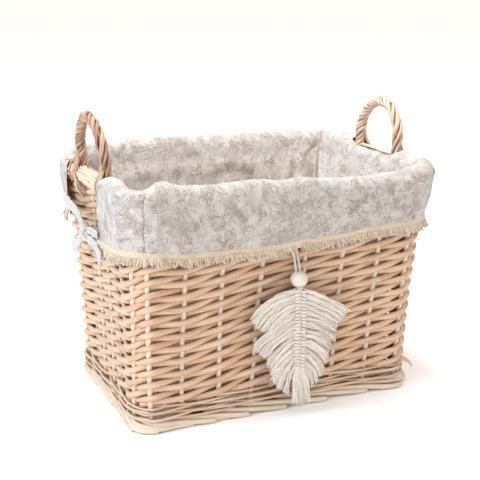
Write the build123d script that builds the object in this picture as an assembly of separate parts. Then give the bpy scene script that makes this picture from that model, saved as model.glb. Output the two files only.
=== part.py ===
from build123d import *
import os
import math

# Rectangular willow laundry basket with two roped end handles, a removable
# fabric liner whose cuff folds over the rim, and a knotted cord leaf hanging
# on the front wall.  Millimetres; X along the length, front at -Y, +Z up,
# origin on the floor under the middle.

# ------------------------------------------------------------ driving sizes
RIM_Z = 274.0                       # height at which the wall profile is stated
WALL_X = (169.5, 171.0, 179.0)      # half length of the stake plane: floor, middle, rim
WALL_Y = (104.2, 109.8, 122.0)      # half depth of the stake plane: floor, middle, rim

STAKE_R = 2.3                       # upright stakes and corner posts
ROD_R = 3.15                        # weaving rods
ROW_Z0, ROW_PITCH, ROWS = 37.0, 7.5, 30
WALE_R = 2.0                        # thin waling rods above the foot
WALE_Z0, WALE_PITCH, WALES = 11.6, 4.7, 5
FOOT_R, FOOT_Z = 3.7, 3.4           # foot border rods, worn flat underneath
FOOT_OFF = 6.35                     # their distance either side of the stakes
RIM_R = 3.1                         # rim border rods
RIM_LOW_Z, RIM_TOP_Z = 262.3, 269.5
RIM_LOW_OFF, RIM_TOP_OFF = 6.2, 5.9
STAKE_Z0, STAKE_Z1 = 1.2, 266.0
ROD_GAP = 0.28                      # play between a rod and a stake

POST_X = (156.5, 162.0)             # front and back posts: half spacing at floor, rim
POST_Y = (83.2, 110.0)              # end posts: half spacing at floor, rim
FRONT_STAKES = ((-122.0, -115.0), (-77.0, -72.0), (-37.0, -20.0),
                (17.0, 33.0), (67.0, 80.0), (111.0, 129.0))
BACK_STAKES = ((-112.0, -116.0), (-67.0, -69.5), (-22.5, -23.0),
               (22.5, 23.0), (67.0, 69.5), (112.0, 116.0))
LEFT_ENDS = (46.0, 15.3, -15.3, -46.0)  # handle legs and stakes of the left wall, back to front
RIGHT_ENDS = (-55.0, -13.0, 29.0, 66.0)  # and of the right wall, front to back
LEFT_LEGS, RIGHT_LEGS = (-46.0, 46.0), (-55.0, 29.0)

HANDLE_CORE_R = 2.4
HANDLE_STRAIGHT = 18.0              # straight leg above the rim before the bow
WRAP_R, WRAPS, WRAP_PITCH = 1.9, 5, 32.0
LASH_R = 1.5

STICK_R, STICKS, STICK_PITCH = 3.0, 8, 25.0
BASE_ROD_R, BASE_ROD_PITCH, BASE_RODS = 2.6, 8.2, 38
BASE_Z = 15.2

CLOTH = 1.5                         # modelled fabric thickness
LINER_Z0, LINER_Z1 = 25.2, 266.0
LINER_IN = 11.6                     # liner's outer face, inside the stake plane
CUFF_TOP = 277.0
CUFF_LOW = 208.0
FLAP_X = 189.8                      # inner face of the end flaps
FLAP_FRONT, FLAP_BACK = 132.2, 135.4
GAP_LEFT = (-55.5, 79.0)            # opening in the cuff at each handle
GAP_RIGHT = (-66.0, 41.0)
TRIM_Z0, TRIM_Z1, TRIM_T = 202.0, 216.0, 1.2

TASSEL_X = 10.5                     # the leaf hangs a little right of the middle
TASSEL_ROW = 22                     # weaving row that its thread loop goes round
LOOP_R = 0.4
CORD_R, CORD_HALF = 1.25, 2.4       # doubled hanging cord
CORD_DIR = (0.0, -0.330, -0.944)    # it leans out over the bead
BEAD_Z, BEAD_R, BEAD_HOLE = 164.0, 9.9, 4.0
LEAF_TOP, LEAF_LOW = 153.3, 58.4
LEAF_Y = -134.0

os.makedirs("parts", exist_ok=True)
NODES = {}


def put(name, solids):
    NODES[name] = list(solids)


# ------------------------------------------------------------ wall profile
def profile(v, z):
    t = z / RIM_Z
    return v[0] * (1 - t) * (1 - 2 * t) + 4 * v[1] * t * (1 - t) + v[2] * t * (2 * t - 1)


def wx(z):
    return profile(WALL_X, z)


def wy(z):
    return profile(WALL_Y, z)


def lerp(pair, z):
    return pair[0] + (pair[1] - pair[0]) * z / RIM_Z


SIDES = ("front", "right", "back", "left")


def uprights(z):
    """Uprights of the four sides in ring order: lists of (x, y, radius)."""
    x, y, px, py = wx(z), wy(z), lerp(POST_X, z), lerp(POST_Y, z)
    front = [(-px, -y)] + [(lerp(s, z), -y) for s in FRONT_STAKES] + [(px, -y)]
    back = [(px, y)] + [(-lerp(s, z), y) for s in BACK_STAKES] + [(-px, y)]
    right = [(x, e) for e in (-py, *RIGHT_ENDS, py)]
    left = [(-x, e) for e in (py, *LEFT_ENDS, -py)]
    rr = lambda p: HANDLE_CORE_R if p[1] in (LEFT_LEGS if p[0] < 0 else RIGHT_LEGS) and abs(p[0]) > x - 1 else STAKE_R
    return [[(p[0], p[1], rr(p)) for p in s] for s in (front, right, back, left)]


NORMAL = ((0, -1), (1, 0), (0, 1), (-1, 0))


def unit(a):
    n = math.hypot(*a)
    return (a[0] / n, a[1] / n)


def seg_dist(p, a, b):
    dx, dy = b[0] - a[0], b[1] - a[1]
    t = max(0, min(1, ((p[0] - a[0]) * dx + (p[1] - a[1]) * dy) / (dx * dx + dy * dy)))
    return math.hypot(p[0] - a[0] - t * dx, p[1] - a[1] - t * dy)


def side_frame(z, i):
    """Uprights of side i, the outward normal at each, and the corner middles."""
    ring = uprights(z)
    here, before, after = ring[i], ring[i - 1][-1], ring[(i + 1) % 4][0]
    n = NORMAL[i]

    def chamfer_normal(p, q):
        t = unit((q[0] - p[0], q[1] - p[1]))
        return (t[1], -t[0])

    n0 = chamfer_normal(before, here[0])
    n1 = chamfer_normal(here[-1], after)
    normals = [unit((n[0] + n0[0], n[1] + n0[1]))] + [n] * (len(here) - 2) + [unit((n[0] + n1[0], n[1] + n1[1]))]
    m0 = ((before[0] + here[0][0]) / 2, (before[1] + here[0][1]) / 2)
    m1 = ((after[0] + here[-1][0]) / 2, (after[1] + here[-1][1]) / 2)
    return here, normals, m0, m1, n0, n1


def first_index(i):
    return (0, 8, 14, 22)[i]


def trim_ends(pts, cut):
    def toward(a, b):
        u = unit((b[0] - a[0], b[1] - a[1]))
        return (a[0] + u[0] * cut, a[1] + u[1] * cut)
    return [toward(pts[0], pts[1])] + pts[1:-1] + [toward(pts[-1], pts[-2])]


def weave_path(z, i, row, r):
    """A rod of one row on one side, in front of and behind alternate uprights."""
    here, normals, m0, m1, n0, n1 = side_frame(z, i)
    offs = [u[2] + r + ROD_GAP for u in here]
    sign = [(-1) ** (row + first_index(i) + k) for k in range(len(here))]
    last = len(here) - 1
    for _ in range(60):
        pts = [m0]
        for k, (u, o, n, s) in enumerate(zip(here, offs, normals, sign)):
            ways = [n]
            if s > 0 and k == 0:
                ways = [n0, NORMAL[i]]
            elif s > 0 and k == last:
                ways = [NORMAL[i], n1]
            pts += [(u[0] + s * o * w[0], u[1] + s * o * w[1]) for w in ways]
        pts.append(m1)
        moved = False
        for k, u in enumerate(here):
            d = min(seg_dist(u, pts[j], pts[j + 1]) for j in range(len(pts) - 1))
            if d < u[2] + r + ROD_GAP - 1e-3:
                offs[k] *= 1.02
                moved = True
        if not moved:
            break
    return trim_ends(pts, 0.7)


def offset_path(z, i, off):
    """A straight border rod at a steady distance from the stake plane."""
    here, normals, m0, m1, n0, n1 = side_frame(z, i)
    n = NORMAL[i]
    out = [(m0[0] + off * n0[0], m0[1] + off * n0[1])]
    for u, b in ((here[0], normals[0]), (here[-1], normals[-1])):
        k = off / (b[0] * n[0] + b[1] * n[1])
        out.append((u[0] + b[0] * k, u[1] + b[1] * k))
    out.append((m1[0] + off * n1[0], m1[1] + off * n1[1]))
    return trim_ends(out, 0.4)


def rod(points, r):
    path = Polyline(*[Vector(*p) for p in points])
    return sweep(Plane(origin=path @ 0, z_dir=path % 0) * Circle(r), path=path,
                 transition=Transition.RIGHT).solid()


def flat_rod(pts, z, r):
    return rod([(p[0], p[1], z) for p in pts], r)


# ------------------------------------------------------------ woven walls
for i, side in enumerate(SIDES):
    put(f"{side}_weave", [flat_rod(weave_path(ROW_Z0 + k * ROW_PITCH, i, k, ROD_R), ROW_Z0 + k * ROW_PITCH, ROD_R)
                          for k in range(ROWS)])
    put(f"foot_wale_{side}", [flat_rod(weave_path(WALE_Z0 + k * WALE_PITCH, i, k + 1, WALE_R), WALE_Z0 + k * WALE_PITCH, WALE_R)
                              for k in range(WALES)])
    floor_cut = Pos(0, 0, -20) * Box(600, 600, 40)
    put(f"foot_border_{side}", [(flat_rod(offset_path(FOOT_Z, i, s * FOOT_OFF), FOOT_Z, FOOT_R) - floor_cut).solid()
                                for s in (1, -1)])
    put(f"rim_border_{side}", [flat_rod(offset_path(z, i, s * o), z, RIM_R)
                               for z, o in ((RIM_LOW_Z, RIM_LOW_OFF), (RIM_TOP_Z, RIM_TOP_OFF)) for s in (1, -1)])


def upright_solid(fn, r):
    pts = [fn(z) for z in (STAKE_Z0, (STAKE_Z0 + STAKE_Z1) / 2, STAKE_Z1)]
    path = ThreePointArc(*[Vector(*p) for p in pts])
    return sweep(Plane(origin=path @ 0, z_dir=path % 0) * Circle(r), path=path).solid()


posts = []
for i in range(4):
    for j in (0, -1):
        posts.append(upright_solid(lambda z: (*uprights(z)[i][j][:2], z), STAKE_R))
put("corner_posts", posts)
for i, side in enumerate(SIDES):
    count = len(uprights(0)[i])
    keep = (range(1, count - 1), (2, 4), range(1, count - 1), (2, 3))[i]
    put(f"{side}_stakes", [upright_solid(lambda z: (*uprights(z)[i][j][:2], z), STAKE_R) for j in keep])

# ------------------------------------------------------------ woven base
put("base_sticks", [Pos(0, (k - (STICKS - 1) / 2) * STICK_PITCH, BASE_Z) * Rot(0, 90, 0) * Cylinder(STICK_R, 318)
                    for k in range(STICKS)])
base_rods = []
amp = STICK_R + BASE_ROD_R + 1.2
for k in range(BASE_RODS):
    x = (k - (BASE_RODS - 1) / 2) * BASE_ROD_PITCH
    ys = [-95.5] + [(j - (STICKS - 1) / 2) * STICK_PITCH for j in range(STICKS)] + [95.5]
    zs = [BASE_Z + amp * (-1) ** (j + k) for j in range(STICKS)]
    zs = [BASE_Z + 0.45 * (zs[0] - BASE_Z)] + zs + [BASE_Z + 0.45 * (zs[-1] - BASE_Z)]
    base_rods.append(rod([(x, y, z) for y, z in zip(ys, zs)], BASE_ROD_R))
put("base_weave", base_rods)

# ------------------------------------------------------------ handles
for side, sx, (leg_y0, leg_y1) in (("left", -1, LEFT_LEGS), ("right", 1, RIGHT_LEGS)):
    half = (leg_y1 - leg_y0) / 2
    leg = lambda z, y: Vector(sx * wx(z), y, z)
    zs = (STAKE_Z0, (STAKE_Z0 + RIM_Z) / 2, RIM_Z)
    leg_a = ThreePointArc(*[leg(z, leg_y0) for z in zs])
    up = (leg_a % 1).normalized()
    a0 = leg(RIM_Z, leg_y0)
    a1 = a0 + up * HANDLE_STRAIGHT
    mid = Vector(a1.X, (leg_y0 + leg_y1) / 2, a1.Z)
    apex = mid + up * half
    b1 = Vector(a1.X, leg_y1, a1.Z)
    b0 = leg(RIM_Z, leg_y1)
    leg_b = ThreePointArc(*[leg(z, leg_y1) for z in reversed(zs)])
    path = Wire([leg_a, Line(a0, a1), ThreePointArc(a1, apex, b1), Line(b1, b0), leg_b])
    put(f"handle_{side}_bow", [sweep(Plane(origin=path @ 0, z_dir=path % 0) * Circle(HANDLE_CORE_R), path=path).solid()])

    across = Vector(sx * up.Z, 0, -sx * up.X) * sx
    total = 2 * HANDLE_STRAIGHT + math.pi * half

    def spine(s):
        if s < HANDLE_STRAIGHT:
            return a0 + up * s, Vector(0, -1, 0)
        if s > total - HANDLE_STRAIGHT:
            return b0 + up * (total - s), Vector(0, 1, 0)
        t = (s - HANDLE_STRAIGHT) / half
        out = Vector(0, -1, 0) * math.cos(t) + up * math.sin(t)
        return mid + out * half, out

    wraps = []
    s0, s1 = 2.5, total - 2.5
    steps = int((s1 - s0) / WRAP_PITCH * 12)
    rad = HANDLE_CORE_R + WRAP_R + 0.35
    for w in range(WRAPS):
        pts = []
        for k in range(steps + 1):
            s = s0 + (s1 - s0) * k / steps
            c, out = spine(s)
            ph = 2 * math.pi * (s / WRAP_PITCH + w / WRAPS)
            pts.append(c + out * (rad * math.cos(ph)) + across * (rad * math.sin(ph)))
        wraps.append(rod([tuple(p) for p in pts], WRAP_R))
    put(f"handle_{side}_wrap", wraps)

    # rod ends that tie each handle foot down over the outside of the rim
    lash = []
    for y, n in ((leg_y0, 1), (leg_y1, -1)):
        for dy, drop in ((-3.2, 24.0), (4.4, 30.0), (9.0, 19.0)):
            ya, yb = y + n * dy * 0.8, y + n * dy * 1.5
            xo = lambda z: sx * (wx(z) + 11.6)
            lash.append(rod([(sx * (wx(276) + 8.8), ya, 281.0), (xo(272), ya, 273.0),
                             (xo(262), (ya + yb) / 2, 260.0), (xo(252), yb, 277.0 - drop)], LASH_R))
    put(f"handle_{side}_lashing", lash)

# ------------------------------------------------------------ fabric liner
def inner_outline(z, inset):
    """The ring of posts moved inwards: eight corners, starting at front left."""
    ring = [p[:2] for side in uprights(z) for p in (side[0], side[-1])]
    out = []
    for k in range(8):
        a, b, c = ring[k - 1], ring[k], ring[(k + 1) % 8]
        t0, t1 = unit((b[0] - a[0], b[1] - a[1])), unit((c[0] - b[0], c[1] - b[1]))
        w0, w1 = (-t0[1], t0[0]), (-t1[1], t1[0])
        m = unit((w0[0] + w1[0], w0[1] + w1[1]))
        d = inset / (m[0] * w0[0] + m[1] * w0[1])
        out.append((b[0] + m[0] * d, b[1] + m[1] * d))
    return out


def frustum(inset, z0, z1):
    zm = (z0 + z1) / 2
    out = None
    for za, zb in ((z0, zm), (zm, z1)):
        part = loft([Plane.XY.offset(z) * make_face(Polyline(*inner_outline(z, inset), close=True)) for z in (za, zb)])
        out = part if out is None else out + part
    return out


shell = frustum(LINER_IN, LINER_Z0, LINER_Z1) - frustum(LINER_IN + CLOTH, LINER_Z0, LINER_Z1)
cx, cy = wx(150) - LINER_IN, wy(150) - LINER_IN
FAR = 3.0
for name, pts in (("front", ((0, 0), (-cx * FAR, -cy * FAR), (cx * FAR, -cy * FAR))),
                  ("right", ((0, 0), (cx * FAR, -cy * FAR), (cx * FAR, cy * FAR))),
                  ("back", ((0, 0), (cx * FAR, cy * FAR), (-cx * FAR, cy * FAR))),
                  ("left", ((0, 0), (-cx * FAR, cy * FAR), (-cx * FAR, -cy * FAR)))):
    gx = sum(p[0] for p in pts) / 3
    gy = sum(p[1] for p in pts) / 3
    g = math.hypot(gx, gy)
    move = (gx / g * 0.35, gy / g * 0.35)
    wedge = extrude(Plane.XY.offset(0) * make_face(Polyline(*[(p[0] + move[0], p[1] + move[1]) for p in pts], close=True)), 400)
    put(f"liner_{name}", [(shell & wedge).solid()])
floor_face = Plane.XY.offset(LINER_Z0) * make_face(Polyline(*inner_outline(LINER_Z0, LINER_IN + CLOTH + 0.5), close=True))
put("liner_bottom", [extrude(floor_face, CLOTH).solid()])


def box(x0, x1, y0, y1, z0, z1):
    return Pos((x0 + x1) / 2, (y0 + y1) / 2, (z0 + z1) / 2) * Box(x1 - x0, y1 - y0, z1 - z0)


TOP_RING = inner_outline(LINER_Z1, LINER_IN)
INX, INY = max(p[0] for p in TOP_RING), max(p[1] for p in TOP_RING)
SPANX = max(p[0] for p in TOP_RING if abs(abs(p[1]) - INY) < 0.1) - 0.5
SPANY = max(p[1] for p in TOP_RING if abs(abs(p[0]) - INX) < 0.1) - 0.5
FX = FLAP_X + CLOTH
for name, s, fl in (("front", -1, FLAP_FRONT), ("back", 1, FLAP_BACK)):
    ys = sorted((s * (INY - CLOTH), s * INY))
    yt = sorted((s * (INY - CLOTH), s * (fl + CLOTH)))
    yf = sorted((s * fl, s * (fl + CLOTH)))
    j = (box(-SPANX, SPANX, *ys, LINER_Z1 + 0.3, CUFF_TOP) + box(-FX, FX, *yt, CUFF_TOP - CLOTH, CUFF_TOP)
         + box(-FX, FX, *yf, CUFF_LOW, CUFF_TOP))
    put(f"cuff_{name}", [j.solid()])
for side, sx, gap in (("left", -1, GAP_LEFT), ("right", 1, GAP_RIGHT)):
    for name, ya, yb, yj in (("front", -FLAP_FRONT + 0.4, gap[0], -INY + CLOTH + 0.4),
                             ("back", gap[1], FLAP_BACK - 0.4, INY - CLOTH - 0.4)):
        ja, jb = (yj, yb) if name == "front" else (ya, yj)
        xs = sorted((sx * (INX - CLOTH), sx * INX))
        xt = sorted((sx * (INX - CLOTH), sx * FX))
        xf = sorted((sx * FLAP_X, sx * FX))
        ka, kb = (-SPANY, yb) if name == "front" else (ya, SPANY)
        j = (box(*xs, ka, kb, LINER_Z1 + 0.3, CUFF_TOP) + box(*xt, ja, jb, CUFF_TOP - CLOTH, CUFF_TOP)
             + box(*xf, ya, yb, CUFF_LOW, CUFF_TOP - CLOTH - 0.4) + box(*xf, ja, jb, CUFF_LOW, CUFF_TOP))
        put(f"cuff_{side}_{name}", [j.solid()])
        xo = sorted((sx * (FX + 0.25), sx * (FX + 0.25 + TRIM_T)))
        put(f"trim_{side}_{name}", [box(*xo, ya, yb, TRIM_Z0, TRIM_Z1).solid()])
TX = FX + 0.25 + TRIM_T
yo = FLAP_FRONT + CLOTH + 0.25
put("trim_front", [box(-TX, TX, -yo - TRIM_T, -yo, TRIM_Z0, TRIM_Z1).solid()])
yo = FLAP_BACK + CLOTH + 0.25
put("trim_back", [box(-TX, TX, yo, yo + TRIM_T, TRIM_Z0, TRIM_Z1).solid()])

# ------------------------------------------------------------ fabric ties at the handles
TIE_X = TX + 0.6
TIE_W, TIE_T = 9.0, 1.4
KNOT = (-17.0, 213.0)
for side, sx, gap in (("left", -1, GAP_LEFT), ("right", 1, GAP_RIGHT)):
    kx = sx * (TIE_X + 4.4)
    ky, kz = KNOT[0] if sx < 0 else -13.0, KNOT[1]
    knot = Pos(kx, ky, kz) * Box(8.8, 20, 17)
    knot = fillet(knot.edges(), 3.6)
    put(f"tie_{side}_knot", [knot.solid()])

    def strip(ya, za, yb, zb, layer):
        ln = math.hypot(yb - ya, zb - za)
        ang = math.degrees(math.atan2(zb - za, yb - ya))
        x = sx * (TIE_X + TIE_T / 2 + layer * (TIE_T + 0.5))
        return (Pos(x, (ya + yb) / 2, (za + zb) / 2) * Rot(ang, 0, 0) * Box(TIE_T, ln, TIE_W)).solid()

    put(f"tie_{side}_back", [strip(gap[1] + 6, 223, ky + 15.0, kz + 5.5, 0), strip(ky + 14.0, kz - 10.5, ky + 52, kz - 30, 0)])
    put(f"tie_{side}_front", [strip(gap[0] - 6, 222, ky - 15.0, kz + 5.5, 0), strip(ky - 14.5, kz - 9.5, ky - 56, kz - 24, 0)])

# ------------------------------------------------------------ cord leaf on the front wall
tx = TASSEL_X
row_z = ROW_Z0 + TASSEL_ROW * ROW_PITCH
row_pts = weave_path(row_z, 0, TASSEL_ROW, ROD_R)
row_y = next(a[1] + (b[1] - a[1]) * (tx - a[0]) / (b[0] - a[0]) for a, b in zip(row_pts, row_pts[1:]) if a[0] <= tx <= b[0])
# thread loop round that rod: close over its back and top, down in front to an eye, back below
LOOP = [(3.93 * math.cos(math.radians(t)), 3.93 * math.sin(math.radians(t))) for t in (10, 38, 66, 94, 122, 150)]
LOOP += [(-4.5, -0.6), (-5.5, -3.4), (-5.2, -5.6), (-2.6, -5.6)]
LOOP += [(3.93 * math.cos(math.radians(t)), 3.93 * math.sin(math.radians(t))) for t in (-72, -40, -10)]
put("tassel_loop", [rod([(tx, row_y + y, row_z + z) for y, z in LOOP], LOOP_R)])
hang = Vector(tx, row_y - 3.9, row_z - 5.6)
down = Vector(*CORD_DIR).normalized()
side_x = Vector(1, 0, 0)
reach = (hang.Z - LEAF_TOP) / -down.Z - 0.4
ta, tb = hang - side_x * CORD_HALF, hang + side_x * CORD_HALF
path = Wire([Line(ta + down * reach, ta), ThreePointArc(ta, hang - down * CORD_HALF, tb), Line(tb, tb + down * reach)])
put("tassel_cord", [sweep(Plane(origin=path @ 0, z_dir=path % 0) * Circle(CORD_R), path=path).solid()])
at = hang + down * ((hang.Z - BEAD_Z) / -down.Z)
along = Plane(origin=at, x_dir=side_x, z_dir=down * -1)
bead = along * (Sphere(BEAD_R) - Cylinder(BEAD_HOLE, 40))
put("tassel_bead", [bead.solid()])
print("rod under the loop", round(row_y, 2), row_z, "hang", [round(v, 2) for v in hang], "bead", [round(v, 2) for v in at])
spine_bar = Pos(tx, LEAF_Y, (LEAF_TOP + LEAF_LOW) / 2) * Box(13, 7.6, LEAF_TOP - LEAF_LOW)
put("leaf_spine", [fillet(spine_bar.edges().filter_by(Axis.Z), 2.6).solid()])
FROND = ((-6.9, 150.2), (-26, 147), (-56, 132), (-60, 121), (-53, 113), (-56, 95), (-49, 83), (-46, 65), (-38, 47), (-24, 32), (-9.0, 26), (-9.0, 58.7), (-6.9, 58.7))
for name, s in (("left", 1), ("right", -1)):
    face = Plane.XZ * make_face(Polyline(*[(tx + s * x, z) for x, z in FROND], close=True))
    put(f"leaf_fronds_{name}", [(Pos(0, LEAF_Y + 2.6, 0) * extrude(face, 5.2)).solid()])
tail = Pos(tx, LEAF_Y, (58.0 + 9.0) / 2) * Box(17, 5.6, 58.0 - 9.0)
put("leaf_tail", [fillet(tail.edges().filter_by(Axis.Z), 2.2).solid()])

# ------------------------------------------------------------ write
for name, solids in NODES.items():
    shape = solids[0] if len(solids) == 1 else Compound(children=solids)
    export_step(shape, f"parts/{name}.step")
print(len(NODES), "nodes,", sum(len(s) for s in NODES.values()), "solids")
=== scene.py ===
import bpy
import math
import numpy as np
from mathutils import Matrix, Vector


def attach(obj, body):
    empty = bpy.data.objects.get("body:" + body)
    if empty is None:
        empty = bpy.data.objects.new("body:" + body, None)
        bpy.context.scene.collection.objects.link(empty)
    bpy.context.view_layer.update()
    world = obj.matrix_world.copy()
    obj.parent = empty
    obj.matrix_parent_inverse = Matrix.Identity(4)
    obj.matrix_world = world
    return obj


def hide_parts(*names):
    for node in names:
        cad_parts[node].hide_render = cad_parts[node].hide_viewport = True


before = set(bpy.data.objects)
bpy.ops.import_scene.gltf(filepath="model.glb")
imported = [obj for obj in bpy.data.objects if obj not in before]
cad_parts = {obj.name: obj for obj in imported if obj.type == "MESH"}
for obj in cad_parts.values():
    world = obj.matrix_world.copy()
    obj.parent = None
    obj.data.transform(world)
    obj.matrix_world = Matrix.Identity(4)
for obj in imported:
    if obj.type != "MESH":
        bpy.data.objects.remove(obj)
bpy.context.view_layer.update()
MM = 0.001
rng = np.random.default_rng(20)
S = bpy.context.scene

# ------------------------------------------------------------------ camera
AZ, PITCH = 0.4261, -0.2834
cam_data = bpy.data.cameras.new("camera")
cam_data.sensor_width = 36.0
cam_data.lens = 78.712
cam = bpy.data.objects.new("camera", cam_data)
S.collection.objects.link(cam)
cam.location = (-0.504484, -1.108236, 0.529746)
look = Vector((math.sin(AZ) * math.cos(PITCH), math.cos(AZ) * math.cos(PITCH), math.sin(PITCH)))
cam.rotation_mode = "QUATERNION"
cam.rotation_quaternion = look.to_track_quat("-Z", "Y")
S.camera = cam


# ------------------------------------------------------------------ mesh building
class Geo:
    """Collects tubes and grids, with a material coordinate and a tint for each point."""

    def __init__(self):
        self.v, self.f, self.c, self.t, self.n = [], [], [], [], 0

    def add(self, pts, faces, coord, tint):
        self.v.append(np.asarray(pts, float))
        self.c.append(np.asarray(coord, float))
        self.t.append(np.broadcast_to(np.asarray(tint, float), (len(pts),)))
        n = self.n
        self.f.extend([[i + n for i in f] for f in faces])
        self.n += len(pts)

    def make(self, name, mat, body, nodes=(), slot=None, smooth=True):
        me = bpy.data.meshes.new(name)
        v = np.concatenate(self.v) * MM
        me.from_pydata(v.tolist(), [], self.f)
        a = me.attributes.new("rc", "FLOAT_VECTOR", "POINT")
        a.data.foreach_set("vector", (np.concatenate(self.c)).astype(np.float32).ravel())
        a = me.attributes.new("tint", "FLOAT", "POINT")
        a.data.foreach_set("value", np.concatenate(self.t).astype(np.float32))
        me.materials.append(mat)
        me.polygons.foreach_set("use_smooth", np.full(len(me.polygons), smooth))
        me.update()
        o = bpy.data.objects.new(name, me)
        S.collection.objects.link(o)
        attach(o, body)
        if nodes:
            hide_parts(*nodes)
        return o


def unitv(a):
    return a / np.maximum(np.linalg.norm(a, axis=-1, keepdims=True), 1e-9)


def tube(g, pts, rad, sides=10, tint=0.5, ref=(0, 0, 1), cap=True, flat=1.0, u0=None, core=None):
    """A round rod along points, with rounded ends; ref keeps its section from twisting; the side towards core is
    darker, painted shade as if in the groove between rods.
    """
    P = np.asarray(pts, float)
    n = len(P)
    R = np.broadcast_to(np.asarray(rad, float), (n,)).copy()
    T = unitv(np.gradient(P, axis=0))
    if cap:
        a, b = P[0] - T[0] * R[0] * 0.35, P[-1] + T[-1] * R[-1] * 0.35
        P = np.concatenate([[a], P, [b]])
        R = np.concatenate([[R[0] * 0.62], R, [R[-1] * 0.62]])
        T = np.concatenate([T[:1], T, T[-1:]])
        n += 2
    ref = np.broadcast_to(np.asarray(ref, float), (n, 3))
    N = unitv(ref - (ref * T).sum(1, keepdims=True) * T)
    B = np.cross(T, N)
    th = np.arange(sides) * 2 * np.pi / sides
    c, s = np.cos(th), np.sin(th)
    V = P[:, None, :] + R[:, None, None] * (c[None, :, None] * N[:, None, :] + flat * s[None, :, None] * B[:, None, :])
    u = np.concatenate([[0], np.cumsum(np.linalg.norm(np.diff(P, axis=0), axis=1))]) + (rng.uniform(0, 4000) if u0 is None else u0)
    C = np.empty((n, sides, 3))
    C[..., 0] = u[:, None]
    C[..., 1] = R[:, None] * c
    C[..., 2] = R[:, None] * s
    i = np.arange(n - 1)[:, None] * sides
    j = np.arange(sides)[None, :]
    k = (j + 1) % sides
    q = np.stack([i + j, i + k, i + sides + k, i + sides + j], -1).reshape(-1, 4)
    faces = q.tolist()
    if cap:
        faces.append(list(range(sides - 1, -1, -1)))
        faces.append([(n - 1) * sides + x for x in range(sides)])
    t = np.asarray(tint, float)
    if t.ndim:
        t = np.concatenate([t[:1], t, t[-1:]]) if cap else t
        t = np.repeat(t, sides)
    # painted shade: the side of the rod that faces core gets a darker tint, standing in for shade in the groove
    # between twisted rods
    if core is not None:
        D = np.concatenate([core[:1], core, core[-1:]]) if cap else core
        groove_shade = ((c[None, :, None] * N[:, None, :] + s[None, :, None] * B[:, None, :]) * D[:, None, :]).sum(-1)
        t = t + 1.1 * np.clip(groove_shade + 0.35, 0, 1).ravel()
    g.add(V.reshape(-1, 3), faces, C.reshape(-1, 3), t)


def smooth_line(ctrl, step=2.5, closed=False):
    """A line through points with steady tangents, sampled about every step millimetres."""
    V = np.asarray(ctrl, float)
    n = len(V)
    if closed:
        prv, nxt = np.roll(V, 1, 0), np.roll(V, -1, 0)
    else:
        prv = np.concatenate([2 * V[:1] - V[1:2], V[:-1]])
        nxt = np.concatenate([V[1:], 2 * V[-1:] - V[-2:-1]])
    d0 = np.linalg.norm(V - prv, axis=1, keepdims=True) + 1e-9
    d1 = np.linalg.norm(nxt - V, axis=1, keepdims=True) + 1e-9
    m = d1 * (V - prv) / (d0 * (d0 + d1)) + d0 * (nxt - V) / (d1 * (d0 + d1))
    out = []
    for a in range(n if closed else n - 1):
        b = (a + 1) % n
        h = float(np.linalg.norm(V[b] - V[a]))
        k = max(2, int(round(h / step)))
        t = np.linspace(0, 1, k, endpoint=False)[:, None]
        out.append((2 * t ** 3 - 3 * t ** 2 + 1) * V[a] + (t ** 3 - 2 * t ** 2 + t) * h * m[a]
                   + (-2 * t ** 3 + 3 * t ** 2) * V[b] + (t ** 3 - t ** 2) * h * m[b])
    if not closed:
        out.append(V[-1:])
    return np.concatenate(out)


def wavy(x, amp, period, seed):
    """A smooth uneven wave."""
    r = np.random.default_rng(seed)
    y = np.zeros_like(np.asarray(x, float))
    for k, a in ((1.0, 1.0), (2.3, 0.5), (4.1, 0.28)):
        y = y + a * np.sin(np.asarray(x) * 2 * np.pi * k / period + r.uniform(0, 6.28))
    return amp * y / 1.3


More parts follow.
